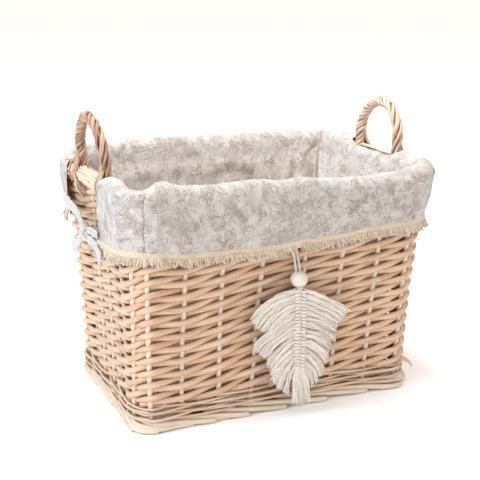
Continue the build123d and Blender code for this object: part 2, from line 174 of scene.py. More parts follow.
# ------------------------------------------------------------------ materials
class Mat:
    """A small helper around a shader node tree."""

    def __init__(self, name):
        self.m = bpy.data.materials.new(name)
        self.m.use_nodes = True
        self.t = self.m.node_tree
        self.b = self.t.nodes["Principled BSDF"]

    def node(self, kind, **kw):
        n = self.t.nodes.new(kind)
        for k, v in kw.items():
            setattr(n, k, v)
        return n

    def put(self, sock, val):
        if isinstance(val, bpy.types.NodeSocket):
            self.t.links.new(val, sock)
        elif val is not None:
            sock.default_value = val

    def attr(self, name, out="Fac"):
        return self.node("ShaderNodeAttribute", attribute_name=name).outputs[out]

    def math(self, op, a, b=None, c=None, clamp=False):
        n = self.node("ShaderNodeMath", operation=op, use_clamp=clamp)
        for s, v in zip(n.inputs, (a, b, c)):
            self.put(s, v)
        return n.outputs[0]

    def vmath(self, op, a, b=None, out=0, scale=None):
        n = self.node("ShaderNodeVectorMath", operation=op)
        self.put(n.inputs[0], a)
        if b is not None:
            self.put(n.inputs[1], b)
        if scale is not None:
            self.put(n.inputs["Scale"], scale)
        return n.outputs[out]

    def xyz(self, v):
        n = self.node("ShaderNodeSeparateXYZ")
        self.put(n.inputs[0], v)
        return n.outputs

    def join(self, x=0.0, y=0.0, z=0.0):
        n = self.node("ShaderNodeCombineXYZ")
        for s, v in zip(n.inputs, (x, y, z)):
            self.put(s, v)
        return n.outputs[0]

    def noise(self, vec, scale, detail=3.0, rough=0.55, out=0, dims="3D"):
        n = self.node("ShaderNodeTexNoise", noise_dimensions=dims)
        self.put(n.inputs["Vector"], vec)
        n.inputs["Scale"].default_value = scale
        n.inputs["Detail"].default_value = detail
        n.inputs["Roughness"].default_value = rough
        return n.outputs[out]

    def ramp(self, fac, stops):
        n = self.node("ShaderNodeValToRGB")
        e = n.color_ramp.elements
        while len(e) < len(stops):
            e.new(0.5)
        for k, (p, col) in enumerate(stops):
            e[k].position = p
            e[k].color = (*col, 1) if len(col) == 3 else col
        self.put(n.inputs[0], fac)
        return n.outputs[0]

    def remap(self, v, a, b, c=0.0, d=1.0):
        n = self.node("ShaderNodeMapRange", clamp=True)
        for s, x in zip(n.inputs, (v, a, b, c, d)):
            self.put(s, x)
        return n.outputs[0]

    def soft(self, v, a, b, c=0.0, d=1.0):
        n = self.node("ShaderNodeMapRange", clamp=True, interpolation_type="SMOOTHSTEP")
        for s, x in zip(n.inputs, (v, a, b, c, d)):
            self.put(s, x)
        return n.outputs[0]

    def mix(self, fac, a, b, kind="MIX"):
        n = self.node("ShaderNodeMix", data_type="RGBA", blend_type=kind)
        self.put(n.inputs[0], fac)
        self.put(n.inputs[6], (*a, 1) if isinstance(a, tuple) else a)
        self.put(n.inputs[7], (*b, 1) if isinstance(b, tuple) else b)
        return n.outputs[2]

    def bump(self, height, strength, dist):
        n = self.node("ShaderNodeBump")
        n.inputs["Strength"].default_value = strength
        n.inputs["Distance"].default_value = dist
        self.put(n.inputs["Height"], height)
        self.put(self.b.inputs["Normal"], n.outputs[0])

    def set(self, **kw):
        for k, v in kw.items():
            self.put(self.b.inputs[k.replace("_", " ")], v)
        return self.m


def willow(name, pale, mid, dark, rough=0.46, film_and_sheen_amount=0.45):
    """Peeled willow: long streaks, blotches, a greyish film (partly weathering, partly a painted bluish reflection)
    and fine fibres.
    """
    m = Mat(name)
    rc, tint = m.attr("rc", "Vector"), m.attr("tint")
    streak = m.noise(m.vmath("MULTIPLY", rc, (0.014, 0.6, 0.6)), 2.6, 4.0, 0.65)
    fine = m.noise(m.vmath("MULTIPLY", rc, (0.07, 1.7, 1.7)), 3.0, 3.0, 0.6)
    blotch = m.noise(m.vmath("MULTIPLY", rc, (0.035, 0.14, 0.14)), 1.0, 3.0, 0.6)
    t = m.math("ADD", m.math("MULTIPLY", tint, 0.60), m.math("MULTIPLY", m.math("SUBTRACT", streak, 0.5), 1.15))
    t = m.math("ADD", t, m.math("MULTIPLY", m.math("SUBTRACT", blotch, 0.5), 0.80), clamp=True)
    col = m.ramp(t, [(0.0, pale), (0.45, mid), (1.0, dark)])
    # grey film patches: partly weathering, partly a painted bluish reflection on the rods
    film_and_sheen = m.soft(m.noise(m.vmath("ADD", m.vmath("MULTIPLY", rc, (0.030, 0.24, 0.24)), (31.0, 7.0, 3.0)), 1.3, 3.0, 0.6), 0.50, 0.70, 0.0, film_and_sheen_amount)
    col = m.mix(film_and_sheen, col, (0.600, 0.505, 0.450))
    fleck = m.soft(m.noise(m.vmath("MULTIPLY", rc, (0.05, 0.45, 0.45)), 2.0, 2.0, 0.5), 0.68, 0.80, 0.0, 0.45)
    col = m.mix(fleck, col, tuple(x * 0.62 for x in dark))
    fib = m.math("MULTIPLY", m.math("SUBTRACT", fine, 0.5), 0.34)
    col = m.mix(m.math("ADD", 0.10, fib, clamp=True), col, tuple(x * 0.45 for x in dark))
    m.set(Base_Color=col, Roughness=m.remap(streak, 0.3, 0.7, rough - 0.08, rough + 0.14))
    m.b.inputs["Specular IOR Level"].default_value = 0.3
    m.bump(m.math("ADD", fine, m.math("MULTIPLY", streak, 0.9)), 0.4, 0.0007)
    return m.m


M_ROD = willow("willow_rods", (0.560, 0.380, 0.262), (0.485, 0.300, 0.186), (0.345, 0.180, 0.094), film_and_sheen_amount=0.55)
M_STAKE = willow("willow_stakes", (0.620, 0.500, 0.395), (0.560, 0.430, 0.325), (0.410, 0.280, 0.190), film_and_sheen_amount=0.6)
M_BORDER = willow("willow_border", (0.660, 0.545, 0.435), (0.595, 0.465, 0.355), (0.420, 0.288, 0.195))
M_WALE = willow("willow_wale", (0.590, 0.430, 0.315), (0.500, 0.340, 0.235), (0.335, 0.200, 0.120))
M_HANDLE = willow("willow_handle", (0.520, 0.372, 0.280), (0.345, 0.200, 0.132), (0.130, 0.060, 0.034), film_and_sheen_amount=0.18)
M_BASE = willow("willow_base", (0.740, 0.540, 0.370), (0.640, 0.430, 0.270), (0.450, 0.270, 0.150), rough=0.55)


def cotton(name, pale, shade, twist=0.0):
    """Soft cotton yarn: fibres along the yarn and a slight mottle."""
    m = Mat(name)
    rc, tint = m.attr("rc", "Vector"), m.attr("tint")
    fib = m.noise(m.vmath("MULTIPLY", rc, (0.25, 2.2, 2.2)), 1.6, 3.0, 0.6)
    mot = m.noise(m.vmath("MULTIPLY", rc, (0.05, 0.4, 0.4)), 1.0, 2.0, 0.5)
    t = m.math("ADD", m.math("MULTIPLY", fib, 0.7), m.math("MULTIPLY", mot, 0.3))
    t = m.math("ADD", t, m.math("MULTIPLY", m.math("SUBTRACT", tint, 0.5), 0.5), clamp=True)
    m.set(Base_Color=m.ramp(t, [(0.25, shade), (0.7, pale)]), Roughness=m.remap(fib, 0.2, 0.8, 0.82, 0.95))
    m.b.inputs["Sheen Weight"].default_value = 0.25
    m.b.inputs["Sheen Roughness"].default_value = 0.5
    m.b.inputs["Specular IOR Level"].default_value = 0.2
    m.bump(fib, 0.5, 0.0005)
    return m.m


M_COTTON = cotton("cotton_cord", (0.602, 0.542, 0.494), (0.434, 0.367, 0.312))
M_FRINGE = cotton("fringe", (0.605, 0.505, 0.405), (0.380, 0.296, 0.218))


def linen(name, printed=True, tone=1.0, base=((0.394, 0.364, 0.346), (0.468, 0.438, 0.422))):
    """Plain-woven cotton and linen; the printed one has petals and leaves filled with pen strokes."""
    m = Mat(name)
    rc = m.attr("rc", "Vector")             # millimetres in the cloth
    slub = m.noise(m.vmath("MULTIPLY", rc, (0.05, 1.1, 0.0)), 1.0, 2.0, 0.6)
    slub2 = m.noise(m.vmath("MULTIPLY", rc, (1.1, 0.05, 0.0)), 1.0, 2.0, 0.6)
    mottle = m.noise(rc, 0.045, 3.0, 0.6)
    base = [tuple(x * tone for x in c) for c in base]
    col = m.ramp(m.math("ADD", m.math("MULTIPLY", slub, 0.5), m.math("MULTIPLY", slub2, 0.5)), [(0.30, base[0]), (0.70, base[1])])
    if printed:
        warp = m.noise(rc, 0.075, 2.0, 0.5, out=1)
        p = m.vmath("ADD", rc, m.vmath("SCALE", m.vmath("SUBTRACT", warp, (0.5, 0.5, 0.5)), scale=9.0))
        p = m.vmath("MULTIPLY", p, (1.0, 1.0, 0.0))

        def cells(scale, shift, rnd, feature="F1"):
            q = m.vmath("ADD", m.vmath("SCALE", p, scale=scale), shift)
            v = m.node("ShaderNodeTexVoronoi", voronoi_dimensions="2D", feature=feature)
            m.put(v.inputs["Vector"], q)
            v.inputs["Scale"].default_value = 1.0
            v.inputs["Randomness"].default_value = rnd
            if feature != "F1":
                return v.outputs["Distance"]
            col = m.node("ShaderNodeSeparateColor")
            m.put(col.inputs[0], v.outputs["Color"])
            return m.vmath("SUBTRACT", q, v.outputs["Position"]), col.outputs, v.outputs["Distance"]

        # flower middles; the petals round them point outwards, the leaves between lie any way
        floc, frnd, frho = cells(1 / 36.0, (0.3, 0.7, 0.0), 0.8)
        fx, fy, _ = m.xyz(floc)
        flower = m.soft(frho, 0.34, 0.42, 1.0, 0.0)
        drawn = None
        for size, shift, share in ((13.0, (5.2, 1.9, 0.0), 0.58), (8.5, (2.6, 8.3, 0.0), 0.42)):
            loc, rnd, rho = cells(1 / size, shift, 0.95)
            rim = cells(1 / size, shift, 0.95, "DISTANCE_TO_EDGE")
            ax, ay, _ = m.xyz(loc)
            turn = m.math("ADD", m.math("MULTIPLY", m.math("ARCTAN2", fy, fx), flower),
                          m.math("MULTIPLY", m.math("MULTIPLY", rnd[0], 6.283), m.math("SUBTRACT", 1.0, m.math("MULTIPLY", flower, 0.9))))
            co, si = m.math("COSINE", turn), m.math("SINE", turn)
            u = m.math("MULTIPLY", m.math("ADD", m.math("MULTIPLY", ax, co), m.math("MULTIPLY", ay, si)), size)
            v = m.math("MULTIPLY", m.math("SUBTRACT", m.math("MULTIPLY", ay, co), m.math("MULTIPLY", ax, si)), size)
            v = m.math("ADD", v, m.math("MULTIPLY", m.math("MULTIPLY", u, u), 0.03))
            pen = m.noise(m.join(m.math("MULTIPLY", u, 0.04), m.math("MULTIPLY", v, 0.80), m.math("MULTIPLY", rnd[1], 50.0)), 1.0, 1.0, 0.5)
            pen = m.math("MULTIPLY", m.soft(pen, 0.40, 0.58), m.soft(u, -0.42 * size, 0.45 * size, 0.95, 0.55))
            petal = m.math("MULTIPLY", m.soft(rim, 0.0, 0.07, 0.40, 1.0), m.soft(rnd[2], 0.15, 0.75, 0.30, 1.0))
            petal = m.math("MULTIPLY", m.math("MULTIPLY", petal, m.math("SUBTRACT", 1.0, pen)), share)
            drawn = petal if drawn is None else m.math("ADD", drawn, petal)
        worn = m.soft(m.noise(rc, 0.10, 3.0, 0.6), 0.30, 0.66, 0.52, 1.0)
        ground = m.ramp(mottle, [(0.32, (0.206, 0.160, 0.133)), (0.66, (0.268, 0.222, 0.195))])
        curl = m.math("SINE", m.math("MULTIPLY", m.noise(rc, 0.085, 1.5, 0.5), 46.0))
        ground = m.mix(m.math("MULTIPLY", m.soft(curl, 0.05, 0.85), 0.46), ground, base[0])
        col = m.mix(m.math("MULTIPLY", m.soft(drawn, 0.06, 0.52), worn), ground, col)
        _, _, inner = m.xyz(rc)                # painted light: paler inside the basket, up to about half again as bright
        f = [m.math("ADD", 1.0, m.math("MULTIPLY", inner, k)) for k in (0.50, 0.49, 0.48)]
        col = m.vmath("MULTIPLY", col, m.join(*f))
        # painted shade: the seam columns (tint) are darkened, as if shaded in the tuck
        col = m.mix(m.math("MULTIPLY", m.attr("tint"), 0.62), col, (0.200, 0.150, 0.115))
    else:
        col = m.mix(m.math("MULTIPLY", mottle, 0.35), col, tuple(x * 0.82 for x in base[0]))
    x, y, _ = m.xyz(rc)
    weave = m.math("MULTIPLY", m.math("SINE", m.math("MULTIPLY", x, 9.5)), m.math("SINE", m.math("MULTIPLY", y, 9.5)))
    m.set(Base_Color=col, Roughness=m.remap(slub, 0.3, 0.7, 0.80, 0.93))
    m.b.inputs["Sheen Weight"].default_value = 0.25
    m.b.inputs["Specular IOR Level"].default_value = 0.2
    h = m.math("ADD", m.math("MULTIPLY", weave, 0.35), m.math("ADD", slub, slub2))
    m.bump(h, 0.4, 0.0008)
    return m.m


M_LINER = linen("liner_fabric")
M_TIE = linen("tie_fabric", printed=False, tone=1.06)
M_REVERSE = linen("liner_reverse", printed=False, base=((0.740, 0.520, 0.350), (0.820, 0.600, 0.425)))


def bead_wood():
    m = Mat("bead_wood")
    rc = m.attr("rc", "Vector")
    x, y, z = m.xyz(m.vmath("ADD", rc, m.vmath("SCALE", m.noise(rc, 0.12, 2.0, out=1), scale=5.0)))
    ring = m.math("SINE", m.math("MULTIPLY", m.math("ADD", x, m.math("MULTIPLY", y, 0.35)), 3.4))
    grain = m.noise(m.vmath("MULTIPLY", rc, (1.4, 1.4, 0.12)), 1.2, 4.0, 0.6)
    t = m.math("ADD", m.math("MULTIPLY", ring, 0.13), grain, clamp=True)
    m.set(Base_Color=m.ramp(t, [(0.2, (0.410, 0.336, 0.268)), (0.55, (0.540, 0.475, 0.412)), (0.85, (0.575, 0.520, 0.465))]),
          Roughness=m.remap(grain, 0.3, 0.7, 0.42, 0.55))
    m.b.inputs["Specular IOR Level"].default_value = 0.4
    m.bump(t, 0.15, 0.0003)
    return m.m


M_BEAD = bead_wood()

# ------------------------------------------------------------------ wall shape (millimetres)
RIM_Z = 274.0
WALL_X = (169.5, 171.0, 179.0)
WALL_Y = (104.2, 109.8, 122.0)
POST_X = (156.5, 162.0)
POST_Y = (83.2, 110.0)
FRONT_STAKES = ((-122.0, -115.0), (-77.0, -72.0), (-37.0, -20.0), (17.0, 33.0), (67.0, 80.0), (111.0, 129.0))
BACK_STAKES = ((-112.0, -116.0), (-67.0, -69.5), (-22.5, -23.0), (22.5, 23.0), (67.0, 69.5), (112.0, 116.0))
LEFT_ENDS = (46.0, 15.3, -15.3, -46.0)
RIGHT_ENDS = (-55.0, -13.0, 29.0, 66.0)
LEGS = {-1: (-46.0, 46.0), 1: (-55.0, 29.0)}
GAPS = {-1: (-55.0, 79.0), 1: (-65.0, 41.0)}
ROW_Z0, ROW_PITCH, ROWS = 37.0, 7.5, 30
SIDES = ("front", "right", "back", "left")
START = (0, 8, 14, 22, 28)
POSTS = (0, 7, 8, 13, 14, 21, 22, 27)


def profile(v, z):
    t = z / RIM_Z
    return v[0] * (1 - t) * (1 - 2 * t) + 4 * v[1] * t * (1 - t) + v[2] * t * (2 * t - 1)


def wx(z):
    return profile(WALL_X, z)


def wy(z):
    return profile(WALL_Y, z)


def lerp(p, z):
    return p[0] + (p[1] - p[0]) * z / RIM_Z


def ring_uprights(z):
    """The 28 uprights round the basket: plan positions and outward normals."""
    x, y, px, py = wx(z), wy(z), lerp(POST_X, z), lerp(POST_Y, z)
    pos = [(-px, -y)] + [(lerp(s, z), -y) for s in FRONT_STAKES] + [(px, -y)]
    pos += [(x, e) for e in (-py, *RIGHT_ENDS, py)]
    pos += [(px, y)] + [(-lerp(s, z), y) for s in BACK_STAKES] + [(-px, y)]
    wide = 1 + 0.13 * min(max((RIM_Z - z) / 70.0, 0.0), 1.0)
    pos += [(-x, e) for e in (py, *(wide * e for e in LEFT_ENDS), -py)]
    pos = np.array(pos)
    pos[7, 0] += 3.0 * z / RIM_Z
    pos[8, 0] += 5.0 * (1 - 0.6 * min(max((z - 190.0) / 60.0, 0.0), 1.0))
    nrm = np.concatenate([np.tile(n, (k, 1)) for n, k in (((0, -1), 8), ((1, 0), 6), ((0, 1), 8), ((-1, 0), 6))]).astype(float)
    for a in (7, 13, 21, 27):
        b = (a + 1) % 28
        t = pos[b] - pos[a]
        c = np.array([t[1], -t[0]]) / np.linalg.norm(t)
        nrm[a] = unitv(nrm[a] + c)
        nrm[b] = unitv(nrm[b] + c)
    return pos, nrm


def ring_path(z, off, m=10):
    """A closed line round the wall at given distances outside each upright."""
    pos, nrm = ring_uprights(z)
    V = pos + nrm * np.asarray(off)[:, None]
    prv, nxt = np.roll(V, 1, 0), np.roll(V, -1, 0)
    d0 = np.linalg.norm(V - prv, axis=1, keepdims=True)
    d1 = np.linalg.norm(nxt - V, axis=1, keepdims=True)
    mt = d1 * (V - prv) / (d0 * (d0 + d1)) + d0 * (nxt - V) / (d1 * (d0 + d1))
    t = np.linspace(0, 1, m, endpoint=False)[None, :, None]
    A, B, h = V[:, None], np.roll(V, -1, 0)[:, None], d1[:, None]
    out = (2 * t ** 3 - 3 * t ** 2 + 1) * A + (t ** 3 - 2 * t ** 2 + t) * h * mt[:, None] \
        + (-2 * t ** 3 + 3 * t ** 2) * B + (t ** 3 - t ** 2) * h * np.roll(mt, -1, 0)[:, None]
    return out.reshape(-1, 2)


def side_slice(i, m, extra=1):
    """Sample numbers of a ring line that belong to side i, from corner middle to corner middle."""
    a = START[i] * m - m // 2
    b = (START[i + 1] - 1) * m + m // 2
    return np.arange(a, b + 1 + extra) % (28 * m)


# ------------------------------------------------------------------ hanging cord
ROUTE = ((8.1, -135.5, 153.6), (7.9, -130.9, 167.0), (8.3, -124.9, 183.5), (7.9, -120.4, 196.4), (10.5, -118.6, 201.6),
         (13.1, -120.4, 196.4), (12.7, -125.2, 183.0), (13.0, -130.7, 167.5), (12.9, -135.5, 153.6))
cu = bpy.data.curves.new("cord_route", "CURVE")
cu.dimensions = "3D"
cu.resolution_u = 24
sp = cu.splines.new("NURBS")
sp.points.add(len(ROUTE) - 1)
for q, p in zip(sp.points, ROUTE):
    q.co = (*[c * MM for c in p], 1.0)
sp.order_u = 3
sp.use_endpoint_u = True
route_obj = bpy.data.objects.new("cord_route", cu)
S.collection.objects.link(route_obj)
bpy.context.view_layer.update()
line_mesh = bpy.data.meshes.new_from_object(route_obj.evaluated_get(bpy.context.evaluated_depsgraph_get()))
cord_line = np.array([v.co for v in line_mesh.vertices]) / MM
bpy.data.objects.remove(route_obj)
bpy.data.meshes.remove(line_mesh)


def plied(g, line, rad, plies=3, pitch=9.0, sides=7, tint=0.5, ref=(0, 1, 0), phase=0.0, fade=None):
    """A cord of twisted plies along a line."""
    P = np.asarray(line, float)
    T = unitv(np.gradient(P, axis=0))
    rv = np.broadcast_to(np.asarray(ref, float), P.shape)
    N = unitv(rv - (rv * T).sum(1, keepdims=True) * T)
    B = np.cross(T, N)
    u = np.concatenate([[0], np.cumsum(np.linalg.norm(np.diff(P, axis=0), axis=1))])
    R = np.broadcast_to(np.asarray(rad, float), (len(P),))
    k = 0.54 if plies == 3 else 0.5
    for w in range(plies):
        ph = phase + 2 * np.pi * (u / pitch + w / plies)
        Q = P + (R * (1 - k))[:, None] * (np.cos(ph)[:, None] * N + np.sin(ph)[:, None] * B)
        tube(g, Q, R * k, sides, tint, ref)


g = Geo()
plied(g, cord_line, 1.4, 3, 6.0, 8, 0.6, ref=(1, 0.15, 0))
cord_obj = g.make("tassel_cord_plied", M_COTTON, "tassel", ["tassel_cord"], "cotton_cord")

# ------------------------------------------------------------------ woven walls
# every rod starts at its own upright, passes in front of one and behind the next, and climbs one row at each
m = 12
geos = [Geo() for _ in SIDES]
SHIFT = np.array([0.70, -0.10, -0.10, 0.34, 0.34, 0.10, 0.0, 0.0] + [0.0] * 6 + [0.0] * 8 + [0.15, 0.25, 0.30, 0.35, 0.45, 0.55])


def woven_line(V, m):
    """A smooth line through the passing points of a rod."""
    d = np.linalg.norm(np.diff(V[:, :2], axis=0), axis=1)[:, None]
    s = np.diff(V, axis=0) / d
    mt = np.empty_like(V)
    mt[0], mt[-1] = s[0], s[-1]
    mt[1:-1] = (d[1:] * s[:-1] + d[:-1] * s[1:]) / (d[1:] + d[:-1])
    t = np.linspace(0, 1, m, endpoint=False)[None, :, None]
    A, B, h = V[:-1, None], V[1:, None], d[:, None]
    out = (2 * t ** 3 - 3 * t ** 2 + 1) * A + (t ** 3 - 2 * t ** 2 + t) * h * mt[:-1, None] \
        + (-2 * t ** 3 + 3 * t ** 2) * B + (t ** 3 - t ** 2) * h * mt[1:, None]
    return out.reshape(-1, 3)


for n in range(28):
    lv = np.arange(-2, ROWS + 1)
    V = np.empty((len(lv), 3))
    for q, k in enumerate(lv):
        j = (n + k) % 28
        z = ROW_Z0 + ROW_PITCH * (k + SHIFT[j])
        pos, nrm = ring_uprights(z)
        off = (4.0 if k % 2 == 0 else -3.2) + rng.normal(0, 0.2)
        if j >= 22:
            off *= 0.78
        elif j in POSTS:
            off *= 0.9
        if j in POSTS:
            off -= 1.6 * min(max((z - 212.0) / 14.0, 0.0), 1.0)      # pressed in under the cuff
        V[q, :2] = pos[j] + nrm[j] * off
        V[q, 2] = z + rng.normal(0, 0.32)
    P = woven_line(V, m)
    where = n + lv[0] + np.arange(len(P)) / m                 # place round the ring
    keep = (np.arange(len(P)) >= int(0.45 * m)) & (np.arange(len(P)) <= len(P) - int(0.75 * m))
    P, where = P[keep], where[keep]
    P[:, 2] = np.clip(P[:, 2], 30.5, 259.5)
    thick = 3.54 + wavy(where, 0.16, 30, 100 + n) + wavy(where, 0.09, 2.3, 150 + n)
    thick = thick + 0.10 * np.clip(2.5 - np.abs((where % 28) - 24.5), 0, 1)
    tone = rng.uniform(0.2, 0.72) + wavy(where, 0.20, 9.0, 900 + n) + wavy(where, 0.10, 3.1, 940 + n)
    tone = np.clip(tone, 0, 1)
    part = np.searchsorted(START, (where + 0.5) % 28, side="right") - 1
    u0 = rng.uniform(0, 4000)
    cuts = [0] + [q for q in range(1, len(P)) if part[q] != part[q - 1]] + [len(P)]
    for q0, q1 in zip(cuts[:-1], cuts[1:]):
        s = np.arange(q0, min(q1 + 2, len(P)))
        if len(s) > 3:
            tube(geos[part[q0]], P[s], thick[s], 14, tone[s], (0, 0, 1), flat=0.80, u0=u0 + 30 * q0)
# loose tips of rods that stand out of the weave
for i, pts in ((3, ((-173, 78, 196), (-178, 84, 197), (-183.5, 88, 196.5))), (0, ((158, -106, 34), (166, -111, 35.5), (171, -115, 32), (174.5, -117.5, 25.5))), (0, ((160, -107, 31), (167, -112, 33), (170.5, -114, 31))), (1, ((171, 60, 120), (177, 52, 121), (181, 46, 119)))):
    L = smooth_line(pts, 2.0)
    tube(geos[i], L, np.linspace(2.2, 1.1, len(L)), 8, 0.8, (0, 1, 0))
for i, side in enumerate(SIDES):
    geos[i].make(f"weave_{side}", M_ROD, "basket", [f"{side}_weave"], "willow_rods")

# uprights
KEEP = (range(1, 7), (10, 12), range(15, 21), (24, 25))
for i, side in enumerate(SIDES):
    g = Geo()
    for j in KEEP[i]:
        z = np.linspace(2.6, 264, 40)
        xy = np.array([ring_uprights(v)[0][j] for v in z])
        P = np.column_stack([xy, z])
        P[:, 0 if i in (0, 2) else 1] += wavy(z, 0.5, 120, 40 + j)
        tube(g, P, 2.9 + wavy(z, 0.16, 160, 80 + j), 10, np.clip(rng.uniform(0.1, 0.5) + wavy(z, 0.15, 150, j), 0, 1), (1, 0, 0))
    g.make(f"stakes_{side}", M_STAKE, "basket", [f"{side}_stakes"], "willow_stakes")
g = Geo()
for j in POSTS:
    z = np.linspace(2.6, 264, 40)
    xy = np.array([ring_uprights(v)[0][j] for v in z])
    tube(g, np.column_stack([xy, z]), 2.95 + wavy(z, 0.14, 160, 180 + j), 10, np.clip(0.2 + wavy(z, 0.15, 150, j), 0, 1), (1, 0, 0))
g.make("posts_corner", M_STAKE, "basket", ["corner_posts"], "willow_stakes")

# thin waling over the foot
geos = [Geo() for _ in SIDES]
WALE = 8
for k in range(WALE + 3):
    ringu = np.arange(28 * m) / m
    back = ((np.arange(28) + k * 2) % 3) == 0
    r = 1.45 + 0.35 * rng.random()
    off = np.where(back, -(2.3 + r + 0.2), 2.3 + r + 0.2 + 1.0 * (k % 3))
    if k >= WALE:                # a second set lies inside the stakes
        r = 2.6
        off = np.full(28, -5.2)
    xy = ring_path(20.0, off + rng.normal(0, 0.3, 28), m)
    zc = 13.0 + k * 2.55 if k < WALE else 16.0 + 5.4 * (k - WALE)
    dz = 1.15 * np.sin(2 * np.pi * (ringu / 3.0 + k * 0.37)) + wavy(ringu, 1.0, 28 / 4, 40 + k)
    P = np.column_stack([xy, zc + dz])
    tone = np.clip(rng.uniform(0.1, 0.9) + wavy(ringu, 0.25, 28 / 2, 70 + k), 0, 1)
    u0 = rng.uniform(0, 4000)
    for i in range(4):
        s = side_slice(i, m)
        tube(geos[i], P[s], r * (1 + wavy(ringu[s], 0.12, 9, k)), 8, tone[s], (0, 0, 1), u0=u0 + 300 * i)
for i, side in enumerate(SIDES):
    geos[i].make(f"wale_{side}", M_WALE, "basket", [f"foot_wale_{side}"], "willow_wale")

# foot border: each rod comes out from behind a stake, runs down past two more and is cut
geos = [Geo() for _ in SIDES]
F = 24
ringf = ring_path(4.0, np.zeros(28), F)
prvf, nxtf = np.roll(ringf, 1, 0), np.roll(ringf, -1, 0)
tf = unitv(nxtf - prvf)
nrmf = np.column_stack([tf[:, 1], -tf[:, 0]])
nrmf = unitv(sum(np.roll(nrmf, k, 0) for k in range(-8, 9)))
for c in (7.5, 13.5, 21.5, 27.5):        # the foot is squarer at the corners than the wall
    d = (np.arange(28 * F) / F - c + 14) % 28 - 14
    ringf = ringf + nrmf * (5.5 * np.exp(-(d / 0.55) ** 2))[:, None]
for j in range(28):
    i = next(a for a in range(4) if START[a] <= j < START[a + 1])
    long = j in (0, 1, 2, 3, 4, 5, 14, 15, 16, 17, 18, 19)
    span = int(F * (2.02 if long else 3.3) + rng.integers(-4, 5))
    s = np.arange(j * F - 8, j * F + span)
    w = np.linspace(0, 1, len(s))
    base, nn = ringf[s % (28 * F)], nrmf[s % (28 * F)]
    r = (3.2 if long else 2.7) - 0.35 * w + rng.uniform(-0.2, 0.25)
    out = np.clip(w / 0.9, 0, 1)
    off = -3.4 + (11.6 if long else 8.8) * out ** (0.85 if long else 0.6) + rng.uniform(-0.4, 0.4)
    z = 12.6 - 9.6 * w ** (0.9 if long else 0.6)
    z = np.maximum(z + rng.uniform(-0.3, 0.3), r + 0.02)
    P = np.column_stack([base + nn * off[:, None], z])
    tube(geos[i], P, r, 11, np.clip(rng.uniform(0.0, 0.55) + 0.15 * w, 0, 1), (0, 0, 1))
for j in range(28):          # inner rods of the foot
    i = next(a for a in range(4) if START[a] <= j < START[a + 1])
    s = np.arange(j * F - 3, j * F + int(F * 1.5))
    w = np.linspace(0, 1, len(s))
    base, nn = ringf[s % (28 * F)], nrmf[s % (28 * F)]
    P = np.column_stack([base - nn * (5.6 + 1.2 * w)[:, None], 3.2 + 2.6 * (1 - w)])
    tube(geos[i], P, 2.9, 8, rng.uniform(0.2, 0.7), (0, 0, 1))
for i, side in enumerate(SIDES):
    geos[i].make(f"foot_{side}", M_BORDER, "basket", [f"foot_border_{side}"], "willow_border")

# woven base
g = Geo()
for k in range(8):
    y = (k - 3.5) * 25.0
    x = np.linspace(-158, 158, 60)
    tube(g, np.column_stack([x, y + wavy(x, 0.6, 200, k), 15.2 + wavy(x, 0.3, 90, 20 + k)]), 2.9, 10, rng.uniform(0.2, 0.8), (0, 0, 1))
g.make("base_sticks_round", M_BASE, "basket", ["base_sticks"], "willow_base")
g = Geo()
for k in range(38):
    x = (k - 18.5) * 8.2
    ys = [-96.5] + [(j - 3.5) * 25.0 for j in range(8)] + [96.5]
    zs = [15.2 + 6.2 * (-1) ** (j + k) for j in range(8)]
    zs = [15.2 + 0.4 * (zs[0] - 15.2)] + zs + [15.2 + 0.4 * (zs[-1] - 15.2)]
    L = smooth_line([(x + rng.normal(0, 0.5), y, z) for y, z in zip(ys, zs)], 3.2)
    tube(g, L, 2.75 + rng.uniform(-0.2, 0.2), 8, rng.uniform(0.1, 0.9), (1, 0, 0))
g.make("base_rods", M_BASE, "basket", ["base_weave"], "willow_base")

# rim border, bare between the handle feet
geos = [Geo() for _ in SIDES]
for i in range(4):
    for q, (z, off, r) in enumerate(((259.0, 4.9, 2.7), (264.3, 4.6, 2.7), (259.5, -5.2, 2.7), (264.5, -4.8, 2.7), (268.0, 0.6, 2.5))):
        near = np.full(28, off)
        near[[0, 27]] -= 2.8 if off > 0 else 0.0
        near[[7, 8, 13, 14, 21, 22]] -= 1.5 if off > 0 else 0.0
        xy = ring_path(z, near, m)
        s = side_slice(i, m)
        ringu = np.arange(28 * m) / m
        P = np.column_stack([xy[s], z + wavy(ringu[s], 0.5, 9, 10 * i + q)])
        tube(geos[i], P, r, 10, np.clip(rng.uniform(0.0, 0.5), 0, 1), (0, 0, 1))
for i, sx in ((1, 1), (3, -1)):
    # flat bundle of rods laid over the rim from one handle foot to the other
    ya, yb = LEGS[sx]
    for q, (dx, dz) in enumerate(((9.2, 262.4), (9.9, 265.6), (9.6, 268.8), (7.9, 271.6), (5.0, 273.4), (1.7, 274.2))):
        e = rng.uniform(-2, 3, 2)
        y = np.linspace(ya - 1 - e[0], yb + 1 + e[1], 26) if q % 2 else np.linspace(ya - 4 - e[0], yb - 2 + e[1], 26)
        P = np.column_stack([sx * (wx(268) + dx + wavy(y, 0.35, 70, q + 5 * i)), y, dz + wavy(y, 0.5, 80, 30 + q + i) - 0.012 * (y - (ya + yb) / 2)])
        tube(geos[i], P, 2.0 + rng.uniform(-0.15, 0.2), 10, rng.uniform(0.72, 1.05), (0, 0, 1), flat=0.9)
for i, side in enumerate(SIDES):
    geos[i].make(f"rim_{side}", M_BORDER, "basket", [f"rim_border_{side}"], "willow_border")

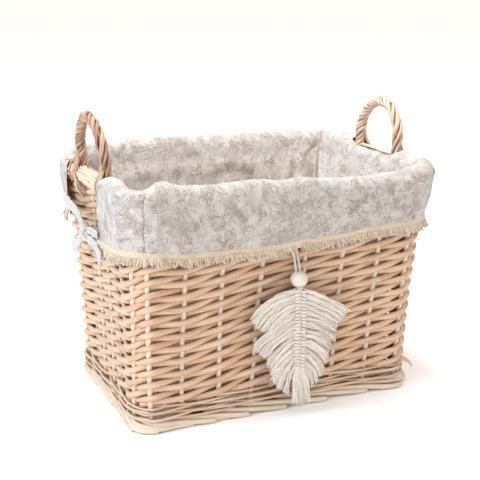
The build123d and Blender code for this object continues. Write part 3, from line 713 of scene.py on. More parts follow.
# ------------------------------------------------------------------ handles
STRAIGHT = 18.0
for side, sx in (("left", -1), ("right", 1)):
    y0, y1 = LEGS[sx]
    half_w = (y1 - y0) / 2
    dz = 0.5
    up = np.array([sx * (wx(RIM_Z) - wx(RIM_Z - dz)) / dz, 0, 1.0])
    up /= np.linalg.norm(up)
    a0 = np.array([sx * wx(RIM_Z), y0, RIM_Z])
    b0 = np.array([sx * wx(RIM_Z), y1, RIM_Z])
    mid = np.array([a0[0], (y0 + y1) / 2, a0[2]]) + up * STRAIGHT
    total = 2 * STRAIGHT + math.pi * half_w

    def spine(s):
        """Point and outward direction along the handle, from its front foot to its back foot."""
        out = np.empty((len(s), 3))
        nor = np.empty((len(s), 3))
        for q, v in enumerate(s):
            if v < STRAIGHT:
                out[q] = a0 + up * v
                nor[q] = (0, -1, 0)
            elif v > total - STRAIGHT:
                out[q] = b0 + up * (total - v)
                nor[q] = (0, 1, 0)
            else:
                t = (v - STRAIGHT) / half_w
                nor[q] = np.array((0, -1, 0)) * math.cos(t) + up * math.sin(t)
                out[q] = mid + nor[q] * half_w
        return out, nor

    # core and wall legs
    g = Geo()
    zl = np.linspace(2.6, RIM_Z, 30)
    legs = [np.column_stack([[sx * wx(v) for v in zl], np.full(30, y), zl]) for y in (y0, y1)]
    s = np.linspace(0, total, 70)
    P, _ = spine(s)
    tube(g, np.concatenate([legs[0][:-1], P, legs[1][::-1][1:]]), 2.3, 10, 0.4, (1, 0, 0))
    g.make(f"bow_{side}", M_HANDLE, "basket", [f"handle_{side}_bow"], "willow_handle")
    # twisted rods
    g = Geo()
    s = np.linspace(-3.0, total + 3.0, 190)
    P, nor = spine(s)
    part = s / total
    rate = 1 / 78.0 + (1 / 33.0 - 1 / 78.0) * np.clip((part - 0.30) / 0.35, 0, 1)
    phase = 2 * np.pi * np.concatenate([[0], np.cumsum((rate[1:] + rate[:-1]) / 2 * np.diff(s))])
    T = unitv(np.gradient(P, axis=0))
    B = np.cross(T, nor)
    # core= below paints shade on the sides of the twisted rods that face the middle of the handle
    n_str = 5
    for w in range(n_str):
        ph = phase + 2 * np.pi * w / n_str + 0.22 * np.sin(s / 15.0 + 1.7 * w) + wavy(s, 0.10, 40, 20 + w)
        rad = 3.95 + wavy(s, 0.55, 60, 50 + w + 3 * sx) + 0.3 * (w % 2)
        Q = P + rad[:, None] * (np.cos(ph)[:, None] * nor + np.sin(ph)[:, None] * B)
        tube(g, Q, (2.35, 1.95, 2.25, 2.05, 2.15)[w] + wavy(s, 0.26, 60, 70 + w), 10, np.clip((0.1, 0.5, 0.0, 0.7, 0.3)[w] + (-0.60 if sx > 0 else 0.62) + wavy(s, 0.25, 70, w), 0, 1), (1, 0, 0), core=unitv(P - Q))
    for w in range(3):            # thinner ends worked in between
        a, b = ((0.42, 0.78), (0.15, 0.55), (0.60, 1.0))[w]
        k = (part > a) & (part < b)
        ph = phase[k] * 1.08 + 2 * np.pi * (w / 3 + 0.09)
        rad = np.full(k.sum(), 5.0) - 1.6 * np.abs(np.linspace(-1, 1, k.sum())) ** 6
        Q = P[k] + rad[:, None] * (np.cos(ph)[:, None] * nor[k] + np.sin(ph)[:, None] * B[k])
        tube(g, Q, 1.2, 7, rng.uniform(0.0, 0.5), (1, 0, 0), core=unitv(P[k] - Q))
    g.make(f"twist_{side}", M_HANDLE, "basket", [f"handle_{side}_wrap"], "willow_handle")
    # rod ends brought down outside the rim
    g = Geo()
    X = lambda z, o: sx * (wx(z) + o)
    for y, n in ((y0, 1), (y1, -1)):
        for q, (dy, drop, o) in enumerate(((-5.5, 262, 10.6), (-1.0, 254, 11.4), (3.4, 247, 11.8), (7.6, 256, 11.2))):
            pts = [(X(280, 2.0 + q), y + n * dy * 0.2, 292), (X(278, 6.5), y + n * dy * 0.55, 282), (X(272, o), y + n * dy, 271),
                   (X(258, o + 0.4), y + n * dy * 1.25, 261), (X(250, o - 1.4), y + n * dy * 1.45, max(drop, 240)), (X(240, 4.0), y + n * dy * 1.6, drop - 9)]
            L = smooth_line(pts, 2.0)
            tube(g, L, np.linspace(1.9, 1.5, len(L)), 8, rng.uniform(0.05, 0.6), (0, 1, 0))
    # ends that cross over each other beside the back foot
    for q, pts in enumerate((((1.5, y1 - 1, 296), (6.5, y1 + 5, 285), (10.8, y1 + 12, 276), (12.4, y1 + 15.5, 266), (9.0, y1 + 15, 254)),
                             ((2.5, y1 + 3, 290), (8.5, y1 + 1, 279), (12.2, y1 - 5, 270), (12.6, y1 - 12, 262), (8.5, y1 - 16, 252)),
                             ((3.0, y1 + 1, 286), (8.0, y1 + 9, 279.5), (11.0, y1 + 19, 278.0), (13.0, y1 + 29, 277.5)))):
        L = smooth_line([(sx * (wx(RIM_Z) + dx), y, z) for dx, y, z in pts], 2.0)
        tube(g, L, np.linspace(1.5, 1.15 if q < 2 else 0.7, len(L)), 8, rng.uniform(0.3, 0.8), (0, 0, 1))
    g.make(f"lash_{side}", M_HANDLE, "basket", [f"handle_{side}_lashing"], "willow_handle")


# ------------------------------------------------------------------ liner
RAD_OUT = (21.0, 20.0, 22.0, 26.0)      # corner radii: front right, back right, back left, front left
RAD_IN = (19.0, 18.0, 20.0, 22.0)


def outline(ax, ay, rad, cols, chord=(0.0, 0.0, 0.0, 0.0)):
    """Points and normals of a rounded rectangle; cols are (part, fraction) pairs."""
    pts, nrm = np.empty((len(cols), 2)), np.empty((len(cols), 2))
    for q, (part, f) in enumerate(cols):
        k, corner = part // 2, part % 2
        a, b = (ax, ay) if k % 2 == 0 else (ay, ax)
        r0, r1 = rad[k - 1], rad[k]
        if not corner:
            p, n = ((r0 - a) + f * (2 * a - r0 - r1), -b), (0.0, -1.0)
        else:
            t = -math.pi / 2 + f * math.pi / 2
            n = (math.cos(t), math.sin(t))
            c = chord[k]
            p = ((a - r1 + r1 * n[0]) * (1 - c) + (a - r1 + r1 * f) * c, (-b + r1 + r1 * n[1]) * (1 - c) + (-b + r1 * f) * c)
        for _ in range(k):
            p, n = (-p[1], p[0]), (-n[1], n[0])
        pts[q], nrm[q] = p, n
    return pts, nrm


NF, NE, NC = 126, 80, 14
SEAMS = {1: 0.5, 3: 0.5, 5: 0.5, 7: 0.74}
CHORD = (0.0, 0.0, 0.0, 0.15)
COLS = []
for part, n in ((0, NF), (1, NC), (2, NE), (3, NC), (4, NF), (5, NC), (6, NE), (7, NC)):
    if part % 2:
        s = SEAMS[part]
        fr = [(q + 0.5) / n for q in range(n)]
        e = 0.045 if part == 3 else 0.017
        fr = [f for f in fr if abs(f - s) > max(1.9 * e, 0.036)] + [s - e, s, s + e]
    else:
        fr = [q / n for q in range(n)]
    COLS += [(part, f) for f in sorted(fr)]
NCOL = len(COLS)
ref_pts, _ = outline(182.0, 125.0, RAD_OUT, COLS, CHORD)
step = np.linalg.norm(np.roll(ref_pts, -1, 0) - ref_pts, axis=1)
ARC = np.concatenate([[0], np.cumsum(step)[:-1]])
PERIM = float(step.sum())


def arc_of(x, y):
    return ARC[int(np.argmin((ref_pts[:, 0] - x) ** 2 + (ref_pts[:, 1] - y) ** 2))]


def round_values(pairs, width=18.0):
    """Values given at plan points, spread round the outline by distance along it."""
    pairs = sorted((arc_of(x, y), v) for x, y, v in pairs)
    arc, val = np.array([p[0] for p in pairs]), np.array([p[1] for p in pairs])
    arc3, val3 = np.concatenate([arc - PERIM, arc, arc + PERIM]), np.tile(val, 3)
    d = np.linspace(-1, 1, 13)
    wgt = np.cos(d * np.pi / 2) ** 2 + 1e-6
    return sum(w * np.interp((ARC + e * width + PERIM) % PERIM, arc3, val3) for e, w in zip(d, wgt)) / wgt.sum()


ridge = round_values([(-182, -56, 281.5), (-182, -82, 284.5), (-178, -96, 280), (-170, -106, 277), (-161, -116, 279), (-154, -123, 286.5), (-145, -125, 286),
                      (-130, -125, 281), (-102, -125, 278), (-74, -125, 278.8), (-45, -125, 279.5), (-8, -125, 275), (15, -125, 276), (52, -125, 272.5),
                      (84, -125, 270.5), (115, -125, 270), (140, -125, 271), (164, -125, 276.5), (178, -118, 280.5), (182, -100, 281.5), (182, -66, 283),
                      (182, -56, 276), (182, -48, 274), (182, 22, 274), (182, 32, 276), (182, 43, 281.5), (182, 62, 282), (182, 98, 277), (176, 120, 276),
                      (157, 125, 275), (142, 125, 279.5), (119, 125, 279), (68, 125, 279), (-2, 125, 282), (-57, 125, 283.5), (-122, 125, 285), (-160, 125, 283),
                      (-178, 120, 278), (-182, 100, 277), (-182, 80, 277), (-182, 68, 274), (-182, -48, 274)], 11.0)
ridge += wavy(ARC, 0.7, PERIM / 9, 3) + wavy(ARC, 0.45, PERIM / 31, 4)
bulge = round_values([(-182, -56, 14.5), (-182, -78, 11.5), (-176, -100, 10), (-160, -118, 11.5), (-110, -125, 13.5), (0, -125, 14), (110, -125, 13.5), (160, -125, 15), (178, -116, 18), (182, -98, 20),
                      (182, -66, 19.5), (182, 43, 15), (178, 118, 13), (100, 125, 13), (-100, 125, 13), (-178, 120, 12.5), (-182, 82, 10.5)])
bulge += wavy(ARC, 0.8, PERIM / 11, 5) + wavy(ARC, 0.5, PERIM / 29, 6)
slope = round_values([(60, -125, 0.0), (110, -125, 0.25), (150, -125, 0.4), (176, -120, 0.4), (182, -95, 0.35), (182, -60, 0.3), (182, 40, 0.2), (0, 125, 0.0), (-182, 0, 0.1), (-150, -125, 0.0)])
drop = round_values([(-140, -125, 12), (-110, -125, 16), (0, -125, 17), (60, -125, 15), (100, -125, 11), (140, -125, 11), (165, -125, 14), (178, -118, 15), (182, -95, 14), (182, -60, 12), (182, 40, 11), (0, 125, 11), (-182, 0, 11), (-170, -106, 9)])
low_z = round_values([(-182, -56, 209.5), (-182, -85, 210.5), (-170, -108, 212), (-156, -124, 211.5), (-130, -125, 207.5), (-106, -125, 205), (-60, -125, 204), (-12, -125, 203.8), (31, -125, 205.2),
                      (70, -125, 207.5), (102, -125, 209.5), (162, -125, 212), (180, -118, 213), (182, -66, 212), (182, 60, 211), (120, 125, 210), (-120, 125, 210), (-182, 90, 213)])
low_z += wavy(ARC, 0.7, PERIM / 13, 8)
low_off = round_values([(-182, -56, 15.5), (-182, -78, 10.5), (-182, -92, 9.5), (-172, -108, 9.5), (-160, -120, 9), (-145, -125, 8), (-100, -125, 6.5), (0, -125, 6), (120, -125, 6), (165, -125, 7), (178, -116, 6.5), (182, -98, 9), (182, -66, 8.5),
                        (182, 60, 8.5), (178, 116, 9), (160, 125, 8), (0, 125, 7), (-160, 125, 7.5), (-178, 118, 5.5), (-182, 85, 6)])
low_off += wavy(ARC, 0.5, PERIM / 12, 11)
belly = round_values([(-182, -56, 0.5), (-150, -125, 1.5), (0, -125, 2.2), (110, -125, 1.5), (160, -125, 0.3), (182, -66, 0.2), (182, 60, 1.5), (0, 125, 2.0), (-182, 90, 1.0)])

# the flap behind the left handle stands away from the wall along its free edge
flap = np.array([5.0 * min(max((104.0 - ref_pts[q, 1]) / 25.0, 0.0), 1.0) if COLS[q][0] == 6 and ref_pts[q, 1] > 40 else 0.0 for q in range(NCOL)])

# section rows: inside wall, over the rim, down the outside
sec = [("in", z) for z in np.linspace(27.0, 252.0, 36)]
NIN = len(sec)
sec += [("top", w) for w in np.linspace(0, 1, 17)[1:]]
sec += [("out", w) for w in np.linspace(0, 1, 27)[1:]]
fold = np.random.default_rng(4)
FOLDS = [(fold.uniform(0, PERIM), fold.uniform(60, 250), fold.uniform(-1.2, 1.2), fold.uniform(35, 90), fold.uniform(9, 17), fold.uniform(2.0, 4.6)) for _ in range(58)]
FOLDS = [(f_[0], f_[1], f_[2], f_[3], f_[4], f_[5] * (0.5 if f_[1] > 180 else 1.0)) for f_ in FOLDS]
FOLDS += [(arc_of(x, y), z, a, ln, wd, h) for x, y, z, a, ln, wd, h in (
    (150, 125, 236, 1.45, 75, 9, 10), (128, 125, 240, 1.75, 60, 8, 6), (60, 125, 246, 0.55, 60, 12, 6), (20, 125, 250, -0.45, 45, 11, 5),
    (-40, 125, 252, 0.25, 60, 11, 3), (-100, 125, 246, 0.1, 55, 10, 4), (-140, 125, 246, 1.2, 50, 11, 5), (95, 125, 252, 0.9, 50, 10, 6),
    (168, 60, 240, 1.4, 60, 12, 5), (168, -20, 246, 0.3, 60, 12, 4))]


def inside_folds(arc, z):
    """Soft folds of the slack cloth: ridges lying at different slants."""
    d = np.zeros_like(arc)
    for a, zc, slant, ln, wd, h in FOLDS:
        da = (arc - a + PERIM / 2) % PERIM - PERIM / 2
        dz_ = z - zc
        along = da * math.cos(slant) + dz_ * math.sin(slant)
        cross = -da * math.sin(slant) + dz_ * math.cos(slant)
        d = d + h * np.exp(-(along / ln) ** 2 * 2 - (cross / wd) ** 2)
    return 13.0 * np.tanh(d / 13.0)


FOLD_TOP = inside_folds(ARC, 254.0)
rows = []
for kind, val in sec:
    if kind == "in":
        z = np.full(NCOL, val)
        p, n = outline(wx(val) - 12.6, wy(val) - 12.6, RAD_IN, COLS)
        d = inside_folds(ARC, val) * np.clip((val - 28) / 30, 0, 1) * np.clip((272 - val) / 30, 0.6, 1)
        p = p - n * d[:, None]
    elif kind == "top":
        t = val * math.pi
        off = -12.6 + (12.6 + bulge) * (1 - math.cos(t)) / 2
        if val <= 0.5:
            z = 252.0 + (ridge - 252.0) * math.sin(t) ** 0.8
            off = off - FOLD_TOP * 0.6 * (1 - 2 * val) ** 1.2
        else:
            z = ridge - drop * ((1 - slope) * (1 - math.sin(t)) ** 1.3 + slope * (-math.cos(t)) ** 1.15)
            off = off + flap * 0.3 * (2 * val - 1) ** 2
        p, n = outline(179.0, 122.0, RAD_OUT, COLS, CHORD)
        p = p + n * off[:, None]
    else:
        e = val
        z0 = ridge - drop
        z = z0 + (low_z - z0) * e
        off = bulge + (low_off - bulge) * (e ** 1.2) + belly * math.sin(math.pi * e)
        p, n = outline(179.0, 122.0, RAD_OUT, COLS, CHORD)
        wr = wavy(ARC + 26 * e, 1.0, PERIM / 17, 21) * (0.35 + 0.65 * math.sin(math.pi * e)) + wavy(ARC - 40 * e, 0.55, PERIM / 43, 23)
        p = p + n * (off + wr + flap * (0.3 + 0.7 * e ** 0.8))[:, None]
    rows.append(np.column_stack([p, z]))
GRID = np.array(rows)                                       # rows x cols x 3
dv = np.linalg.norm(np.diff(GRID, axis=0), axis=2).mean(1)
VV = np.concatenate([[0], np.cumsum(dv)])
NROW = len(rows)
# corner seams: a narrow tuck; SEAM_W also marks the seam columns for painted shade along the tuck
SEAM_W = np.zeros(NCOL)
for part, s in SEAMS.items():
    want = next(k for k, c in enumerate(COLS) if c == (part, s))
    SEAM_W[want] = 1.0
    if part == 3:
        SEAM_W[[want - 1, (want + 1) % NCOL]] = 0.8
    for rr in range(NROW):
        nn = unitv(GRID[rr, (want + 1) % NCOL] - GRID[rr, want - 1])
        outn = np.array([nn[1], -nn[0], 0])
        GRID[rr, want] -= outn * (1.1 if sec[rr][0] != "in" else -2.4)
        if part != 3:
            GRID[rr, [want - 1, want, (want + 1) % NCOL]] += nn * (0.7 * math.sin(rr * 0.55) + (1.2 - 2.4 * rr / NROW))


# the opening at each handle: the cloth stops at the rim there
def col_open(q):
    part, _ = COLS[q]
    if part not in (2, 6):
        return False
    lo, hi = GAPS[1 if part == 2 else -1]
    return lo < ref_pts[q, 1] < hi


OPEN = np.array([col_open(q) for q in range(NCOL)])
hem_row = NIN + 5
verts = GRID.reshape(-1, 3)
coord = np.zeros((NROW, NCOL, 3))
coord[..., 0] = ARC[None, :]
coord[..., 1] = VV[:, None]
# strength of the painted light inside the basket: full below 222 mm, none above 262 mm
coord[:NIN, :, 2] = np.clip((262.0 - np.array([z for _, z in sec[:NIN]])) / 40.0, 0, 1)[:, None]
tint = np.tile(SEAM_W, (NROW, 1))
faces = []
for r in range(NROW - 1):
    for c in range(NCOL):
        d = (c + 1) % NCOL
        if r >= hem_row and (OPEN[c] or OPEN[d]):
            continue
        faces.append([r * NCOL + c, r * NCOL + d, (r + 1) * NCOL + d, (r + 1) * NCOL + c])
# bottom: rings closing to a middle line
nb = 10
last = np.arange(NCOL)
count = len(verts)
allv, allc, allt = [verts], [coord.reshape(-1, 3)], [tint.ravel()]
for k in range(1, nb + 1):
    f = 1 - k / nb
    p, _ = outline(max((wx(27) - 13) - (1 - f) * 93.0, 40.0), max((wy(27) - 13) * f + 1.0, 1.0), tuple(max(19.0 * f, 0.4) for _ in range(4)), COLS)
    zz = 27.2 + 0.8 * np.sin(p[:, 0] / 21.0) * np.cos(p[:, 1] / 26.0) * (1 - f) + wavy(p[:, 0] + p[:, 1], 0.5, 90, 2)
    ring = np.arange(NCOL) + count
    count += NCOL
    allv.append(np.column_stack([p, zz]))
    # the bottom gets the full painted light of the inside
    allc.append(np.column_stack([p[:, 0], p[:, 1] - 400, np.ones(NCOL)]))
    allt.append(np.zeros(NCOL))
    for c in range(NCOL):
        d = (c + 1) % NCOL
        faces.append([int(last[d]), int(last[c]), int(ring[c]), int(ring[d])])
    last = ring
faces.append([int(x) for x in last[::-1]])
used = np.zeros(count, bool)
for f in faces:
    used[f] = True
remap = np.cumsum(used) - 1
g = Geo()
g.add(np.concatenate(allv)[used], [[int(remap[i]) for i in f] for f in faces], np.concatenate(allc)[used], np.concatenate(allt)[used])
liner = g.make("liner_cloth", M_LINER, "liner",
               ["liner_front", "liner_right", "liner_back", "liner_left", "liner_bottom", "cuff_front", "cuff_back",
                "cuff_left_front", "cuff_left_back", "cuff_right_front", "cuff_right_back"], "liner_fabric")
sol = liner.modifiers.new("thickness", "SOLIDIFY")
sol.thickness = 0.0011
sol.offset = 0.0
liner.data.materials[0] = M_REVERSE
liner.data.materials.append(M_LINER)
sol.material_offset = 1

# fringe trim along the lower edge of the cuff
EDGE = GRID[-1].copy()
for q in np.flatnonzero(SEAM_W == 1.0):
    EDGE[q] = 0.5 * (EDGE[q - 1] + EDGE[(q + 1) % NCOL])
_, EN = outline(179.0, 122.0, RAD_OUT, COLS, CHORD)


def run_of(test):
    """Run of columns that pass a test, in order round the basket."""
    ok = np.array([test(q) for q in range(NCOL)])
    start = next(q for q in range(NCOL) if ok[q] and not ok[q - 1])
    out = []
    while ok[(start + len(out)) % NCOL] and len(out) < NCOL:
        out.append((start + len(out)) % NCOL)
    return out


segs = {
    "trim_front": lambda q: COLS[q][0] == 0 or (COLS[q][0] == 1 and COLS[q][1] <= 0.5) or (COLS[q][0] == 7 and COLS[q][1] >= 0.74),
    "trim_back": lambda q: COLS[q][0] == 4 or (COLS[q][0] == 5 and COLS[q][1] <= 0.5) or (COLS[q][0] == 3 and COLS[q][1] >= 0.5),
    "trim_right_front": lambda q: (COLS[q][0] == 1 and COLS[q][1] >= 0.45) or (COLS[q][0] == 2 and ref_pts[q, 1] <= GAPS[1][0]),
    "trim_right_back": lambda q: (COLS[q][0] == 3 and COLS[q][1] <= 0.55) or (COLS[q][0] == 2 and ref_pts[q, 1] >= GAPS[1][1]),
    "trim_left_back": lambda q: (COLS[q][0] == 5 and COLS[q][1] >= 0.45) or (COLS[q][0] == 6 and ref_pts[q, 1] >= GAPS[-1][1]),
    "trim_left_front": lambda q: (COLS[q][0] == 7 and COLS[q][1] <= 0.745) or (COLS[q][0] == 6 and ref_pts[q, 1] <= GAPS[-1][0]),
}
for name, test in segs.items():
    run = run_of(test)
    base, nn, arc = EDGE[run], EN[run], ARC[run]
    L = np.concatenate([[0], np.cumsum(np.linalg.norm(np.diff(base, axis=0), axis=1))])
    g = Geo()
    # folded tape
    sect = ((-0.9, 5.0), (0.9, 3.2), (1.6, 1.2), (1.8, -2.6), (2.2, -5.4), (1.2, -5.9), (0.4, -5.2), (0.3, -2.0), (-0.3, 1.0), (-1.4, 5.0))
    V, C = [], []
    flare = 0.7 + wavy(arc, 0.5, 70, 12)
    for o, z in sect:
        oo = o + (flare * 0.25 * max(0, 1 - z) * 0.35)
        V.append(np.column_stack([base[:, :2] + nn * oo[:, None], base[:, 2] + z + wavy(arc, 0.25, 45, 31) * (z < 0)]))
        C.append(np.column_stack([L, np.full(len(L), z * 0.6), np.full(len(L), o * 0.6)]))
    V, C = np.array(V), np.array(C)
    n, k = len(run), len(sect)
    fs = []
    for a in range(k):
        b = (a + 1) % k
        for c in range(n - 1):
            fs.append([b * n + c, a * n + c, a * n + c + 1, b * n + c + 1])
    fs.append([a * n for a in range(k)])
    fs.append([a * n + n - 1 for a in range(k - 1, -1, -1)])
    g.add(V.reshape(-1, 3), fs, C.reshape(-1, 3), 0.30)
    # threads
    r = np.random.default_rng(len(name) * 7)
    for layer in (0, 1):
        p = 0.4
        while p < L[-1] - 0.3:
            bx = np.array([np.interp(p, L, base[:, q]) for q in range(3)])
            nx = np.array([np.interp(p, L, nn[:, q]) for q in range(2)])
            nx /= np.linalg.norm(nx)
            tx_ = np.array([-nx[1], nx[0]])
            fl = float(np.interp(p, L, flare))
            tuft = math.sin(p / 2.3 + 1.7 * math.sin(p / 5.1)) + 0.6 * math.sin(p / 1.31 + 2.0)
            ln = r.uniform(4.6, 7.4) + 0.9 * tuft
            lean, out = 0.22 * math.cos(p / 2.3 + 1.7 * math.sin(p / 5.1)) + r.normal(0, 0.17), 0.14 + 0.22 * layer + r.normal(0.05, 0.14) + 0.08 * fl
            curl = r.normal(0, 1.0)
            if name == "trim_front" and abs(bx[0] - 10.5) < 7.5:      # parted over the hanging cord
                lean += math.copysign(0.5, bx[0] - 10.5) * (1 - abs(bx[0] - 10.5) / 7.5)
                curl = math.copysign(0.5, bx[0] - 10.5)
            w = np.linspace(0, 1, 5)
            ln += 1.2
            o = 1.6 + 0.7 * layer + ln * out * w ** 1.4
            side_m = lean * ln * w + curl * w ** 2
            P = np.column_stack([bx[0] + nx[0] * o + tx_[0] * side_m, bx[1] + nx[1] * o + tx_[1] * side_m, bx[2] - 3.2 - ln * w * (1 - 0.08 * abs(lean))])
            if name != "trim_front" or np.abs(P[:, 0] - 10.5).min() > 2.6:
                tube(g, P, np.linspace(0.78, 0.46, 5), 5, r.uniform(0.0, 0.9), (nx[0], nx[1], 0))
            p += r.uniform(1.0, 1.75)
    g.make("fringe_" + name[5:], M_FRINGE, "liner", [name], "fringe")
me = liner.data


# ------------------------------------------------------------------ cloth ties
def ribbon(g, line, width, normal, thick=1.1, cup=0.35, tint=0.0, seed=0, pleat=0.9):
    """A gathered strip of cloth along a line, cupped and pleated across its width."""
    P = np.asarray(line, float)
    T = unitv(np.gradient(P, axis=0))
    N0 = np.asarray(normal, float)
    if N0.ndim == 1:
        N0 = np.broadcast_to(N0, P.shape)
    N = unitv(N0 - (N0 * T).sum(1, keepdims=True) * T)
    B = np.cross(T, N)
    W = np.broadcast_to(np.asarray(width, float), (len(P),))
    u = np.concatenate([[0], np.cumsum(np.linalg.norm(np.diff(P, axis=0), axis=1))])
    k = 15
    x = np.linspace(-0.5, 0.5, k)
    rr = np.random.default_rng(seed)
    ph = rr.uniform(0, 6.28, 3)
    crease = pleat * (np.sin(x[None, :] * 15 + ph[0] + 0.05 * u[:, None]) * 0.7 + np.sin(x[None, :] * 26 + ph[1] - 0.09 * u[:, None]) * 0.45)
    edge = 1 + 0.06 * np.sin(u / 3.1 + ph[2]) + 0.05 * np.sin(u / 1.7)
    top = P[:, None] + (x[None, :] * (W * edge)[:, None])[..., None] * B[:, None] \
        + ((cup * W[:, None] * (0.25 - x[None, :] ** 2) * 2 + crease + wavy(u, 0.6, 16, seed + 9)[:, None]) + thick / 2)[..., None] * N[:, None]
    low = top - thick * N[:, None]
    n = len(P)
    V = np.concatenate([top, low[:, ::-1]], axis=1)
    C = np.zeros(V.shape)
    C[..., 0] = u[:, None] + seed * 37
    C[..., 1] = np.concatenate([x, x[::-1]])[None, :] * W[:, None] + np.concatenate([np.zeros(k), np.full(k, 30.0)])[None, :]
    kk = 2 * k
    fs = []
    for a in range(n - 1):
        for b in range(kk):
            c = (b + 1) % kk
            fs.append([a * kk + b, a * kk + c, (a + 1) * kk + c, (a + 1) * kk + b])
    fs.append(list(range(kk - 1, -1, -1)))
    fs.append([(n - 1) * kk + b for b in range(kk)])
    g.add(V.reshape(-1, 3), fs, C.reshape(-1, 3), tint)
    return float((W[1:] * np.diff(u)).sum())


for side, sx, ky, ybk, yfr in (("left", -1, -17.0, 81.0, -58.0), ("right", 1, -13.0, 45.0, -69.0)):
    X = lambda d: sx * (193.9 + d)
    kz = 213.0
    out = (sx, 0, 0)
    pieces = {
        "back": [[(X(-3.5), ybk + 5, 231), (X(0.0), ybk - 6, 230.5), (X(1.4), (ybk + ky) / 2 + 14, 229), (X(2.2), ky + 30, 226), (X(3.4), ky + 9, 218)],
                 [(X(4.4), ky + 8, 206), (X(3.0), ky + 19, 202), (X(1.6), ky + 34, 194), (X(1.0), ky + 48, 186), (X(1.6), ky + 60, 179)]],
        "front": [[(X(1.5), yfr - 2, 220), (X(3.0), yfr + 8, 220), (X(2.8), (yfr + ky) / 2, 219.5), (X(3.0), ky - 14, 218), (X(3.4), ky - 8, 216)],
                  [(X(4.4), ky - 5, 208), (X(3.4), ky - 17, 207.5), (X(2.6), ky - 32, 206), (X(3.4), ky - 46, 202), (X(4.2), ky - 58, 195)]],
    }
    for name, lines in pieces.items():
        g = Geo()
        a = 0.0
        for q, pts in enumerate(lines):
            L = smooth_line(pts, 1.4)
            w = np.linspace(0, 1, len(L))
            width = (14.5 - 4.0 * w ** 1.5) if q == 0 and name == "back" else (9.5 - 1.5 * w) if q == 0 else (8.0 + 5.5 * w ** 0.7)
            a += ribbon(g, L, width, out, cup=0.26 if q == 0 else 0.20, seed=3 * q + (5 if name == "back" else 11) + (1 if sx > 0 else 0))
            if q == 1:             # loose threads at the cut end
                e, t = L[-1], unitv(L[-1] - L[-3])
                b = unitv(np.cross(t, out))
                for v in np.linspace(-6.0, 6.0, 19):
                    ln = rng.uniform(1.5, 5.0)
                    w4 = np.linspace(0, 1, 4)[:, None]
                    tube(g, e + b * v + t * (ln * w4 - 0.6) + b * (rng.normal(0, 0.9) * w4 ** 2) + np.array(out) * 1.2, [0.34, 0.32, 0.28, 0.2], 4, 0.0, out)
        o = g.make(f"tie_{side}_{name}_strip", M_TIE, "liner", [f"tie_{side}_{name}"], "tie_fabric")
        ln = sum(np.linalg.norm(np.diff(smooth_line(p, 1.4), axis=0), axis=1).sum() for p in lines) * MM
    # knot: crossing turns over a bundle
    g = Geo()
    t = np.linspace(0, 2 * np.pi, 45)
    for q, (rx, rz, tilt, w) in enumerate(((5.8, 9.4, 0.5, 10.5), (6.4, 8.8, -0.62, 9.6), (5.2, 8.2, 1.45, 8.6))):
        a, b = rx * np.cos(t), rz * np.sin(t)
        loop = np.column_stack([sx * (197.9 + a * 0.72), ky + b * math.sin(tilt) + 0.6 * q, kz + b * math.cos(tilt)])
        nor = np.column_stack([sx * np.cos(t), np.sin(t) * math.sin(tilt), np.sin(t) * math.cos(tilt)])
        ribbon(g, loop, w, nor, thick=1.2, cup=0.22, seed=17 + q, pleat=0.55)
    o = g.make(f"tie_{side}_knot_wrap", M_TIE, "liner", [f"tie_{side}_knot"], "tie_fabric")

# ------------------------------------------------------------------ hanging leaf
TX = 10.5
g = Geo()
lp = [(3.93 * math.cos(math.radians(t)), 3.93 * math.sin(math.radians(t))) for t in (10, 38, 66, 94, 122, 150)]
lp += [(-4.5, -0.6), (-5.5, -3.4), (-5.2, -5.6), (-2.6, -5.6)]
lp += [(3.93 * math.cos(math.radians(t)), 3.93 * math.sin(math.radians(t))) for t in (-72, -40, -10)]
plied(g, smooth_line([(TX, -116.63 + y, 202.0 + z) for y, z in lp], 0.6), 0.42, 3, 2.2, 6, 0.5, ref=(1, 0, 0))
g.make("tassel_thread", M_COTTON, "tassel_loop", ["tassel_loop"], "cotton_cord")

# bead with a drilled hole
g = Geo()
down = unitv(np.array([0.0, -0.330, -0.944]))
at = np.array([TX, -131.86, 164.0])
e1 = np.array([1.0, 0, 0])
e2 = np.cross(down, e1)
prof = []
R, H = 9.9, 4.0
a0 = math.asin((H + 0.5) / R)
for a in np.linspace(a0, math.pi - a0, 26):
    prof.append((R * math.sin(a), R * math.cos(a) * 0.975))
zt = prof[0][1]
prof = [(H, zt - 2.0), (H + 0.05, zt - 0.5)] + prof + [(H + 0.05, -zt + 0.5), (H, -zt + 2.0)]
for zz in np.linspace(-zt + 4.0, zt - 4.0, 5):
    prof.append((H, zz))
n, sides = len(prof), 40
th = np.arange(sides) * 2 * np.pi / sides
V, C = [], []
for r, z in prof:
    for t in th:
        V.append(at - down * z + e1 * r * math.cos(t) + e2 * r * math.sin(t))
        C.append((r * math.cos(t), r * math.sin(t), z))
fs = []
for a in range(n):
    b = (a + 1) % n
    for c in range(sides):
        d = (c + 1) % sides
        fs.append([a * sides + c, a * sides + d, b * sides + d, b * sides + c])
g.add(V, fs, C, 0.5)
g.make("bead", M_BEAD, "bead", ["tassel_bead"], "bead_wood")

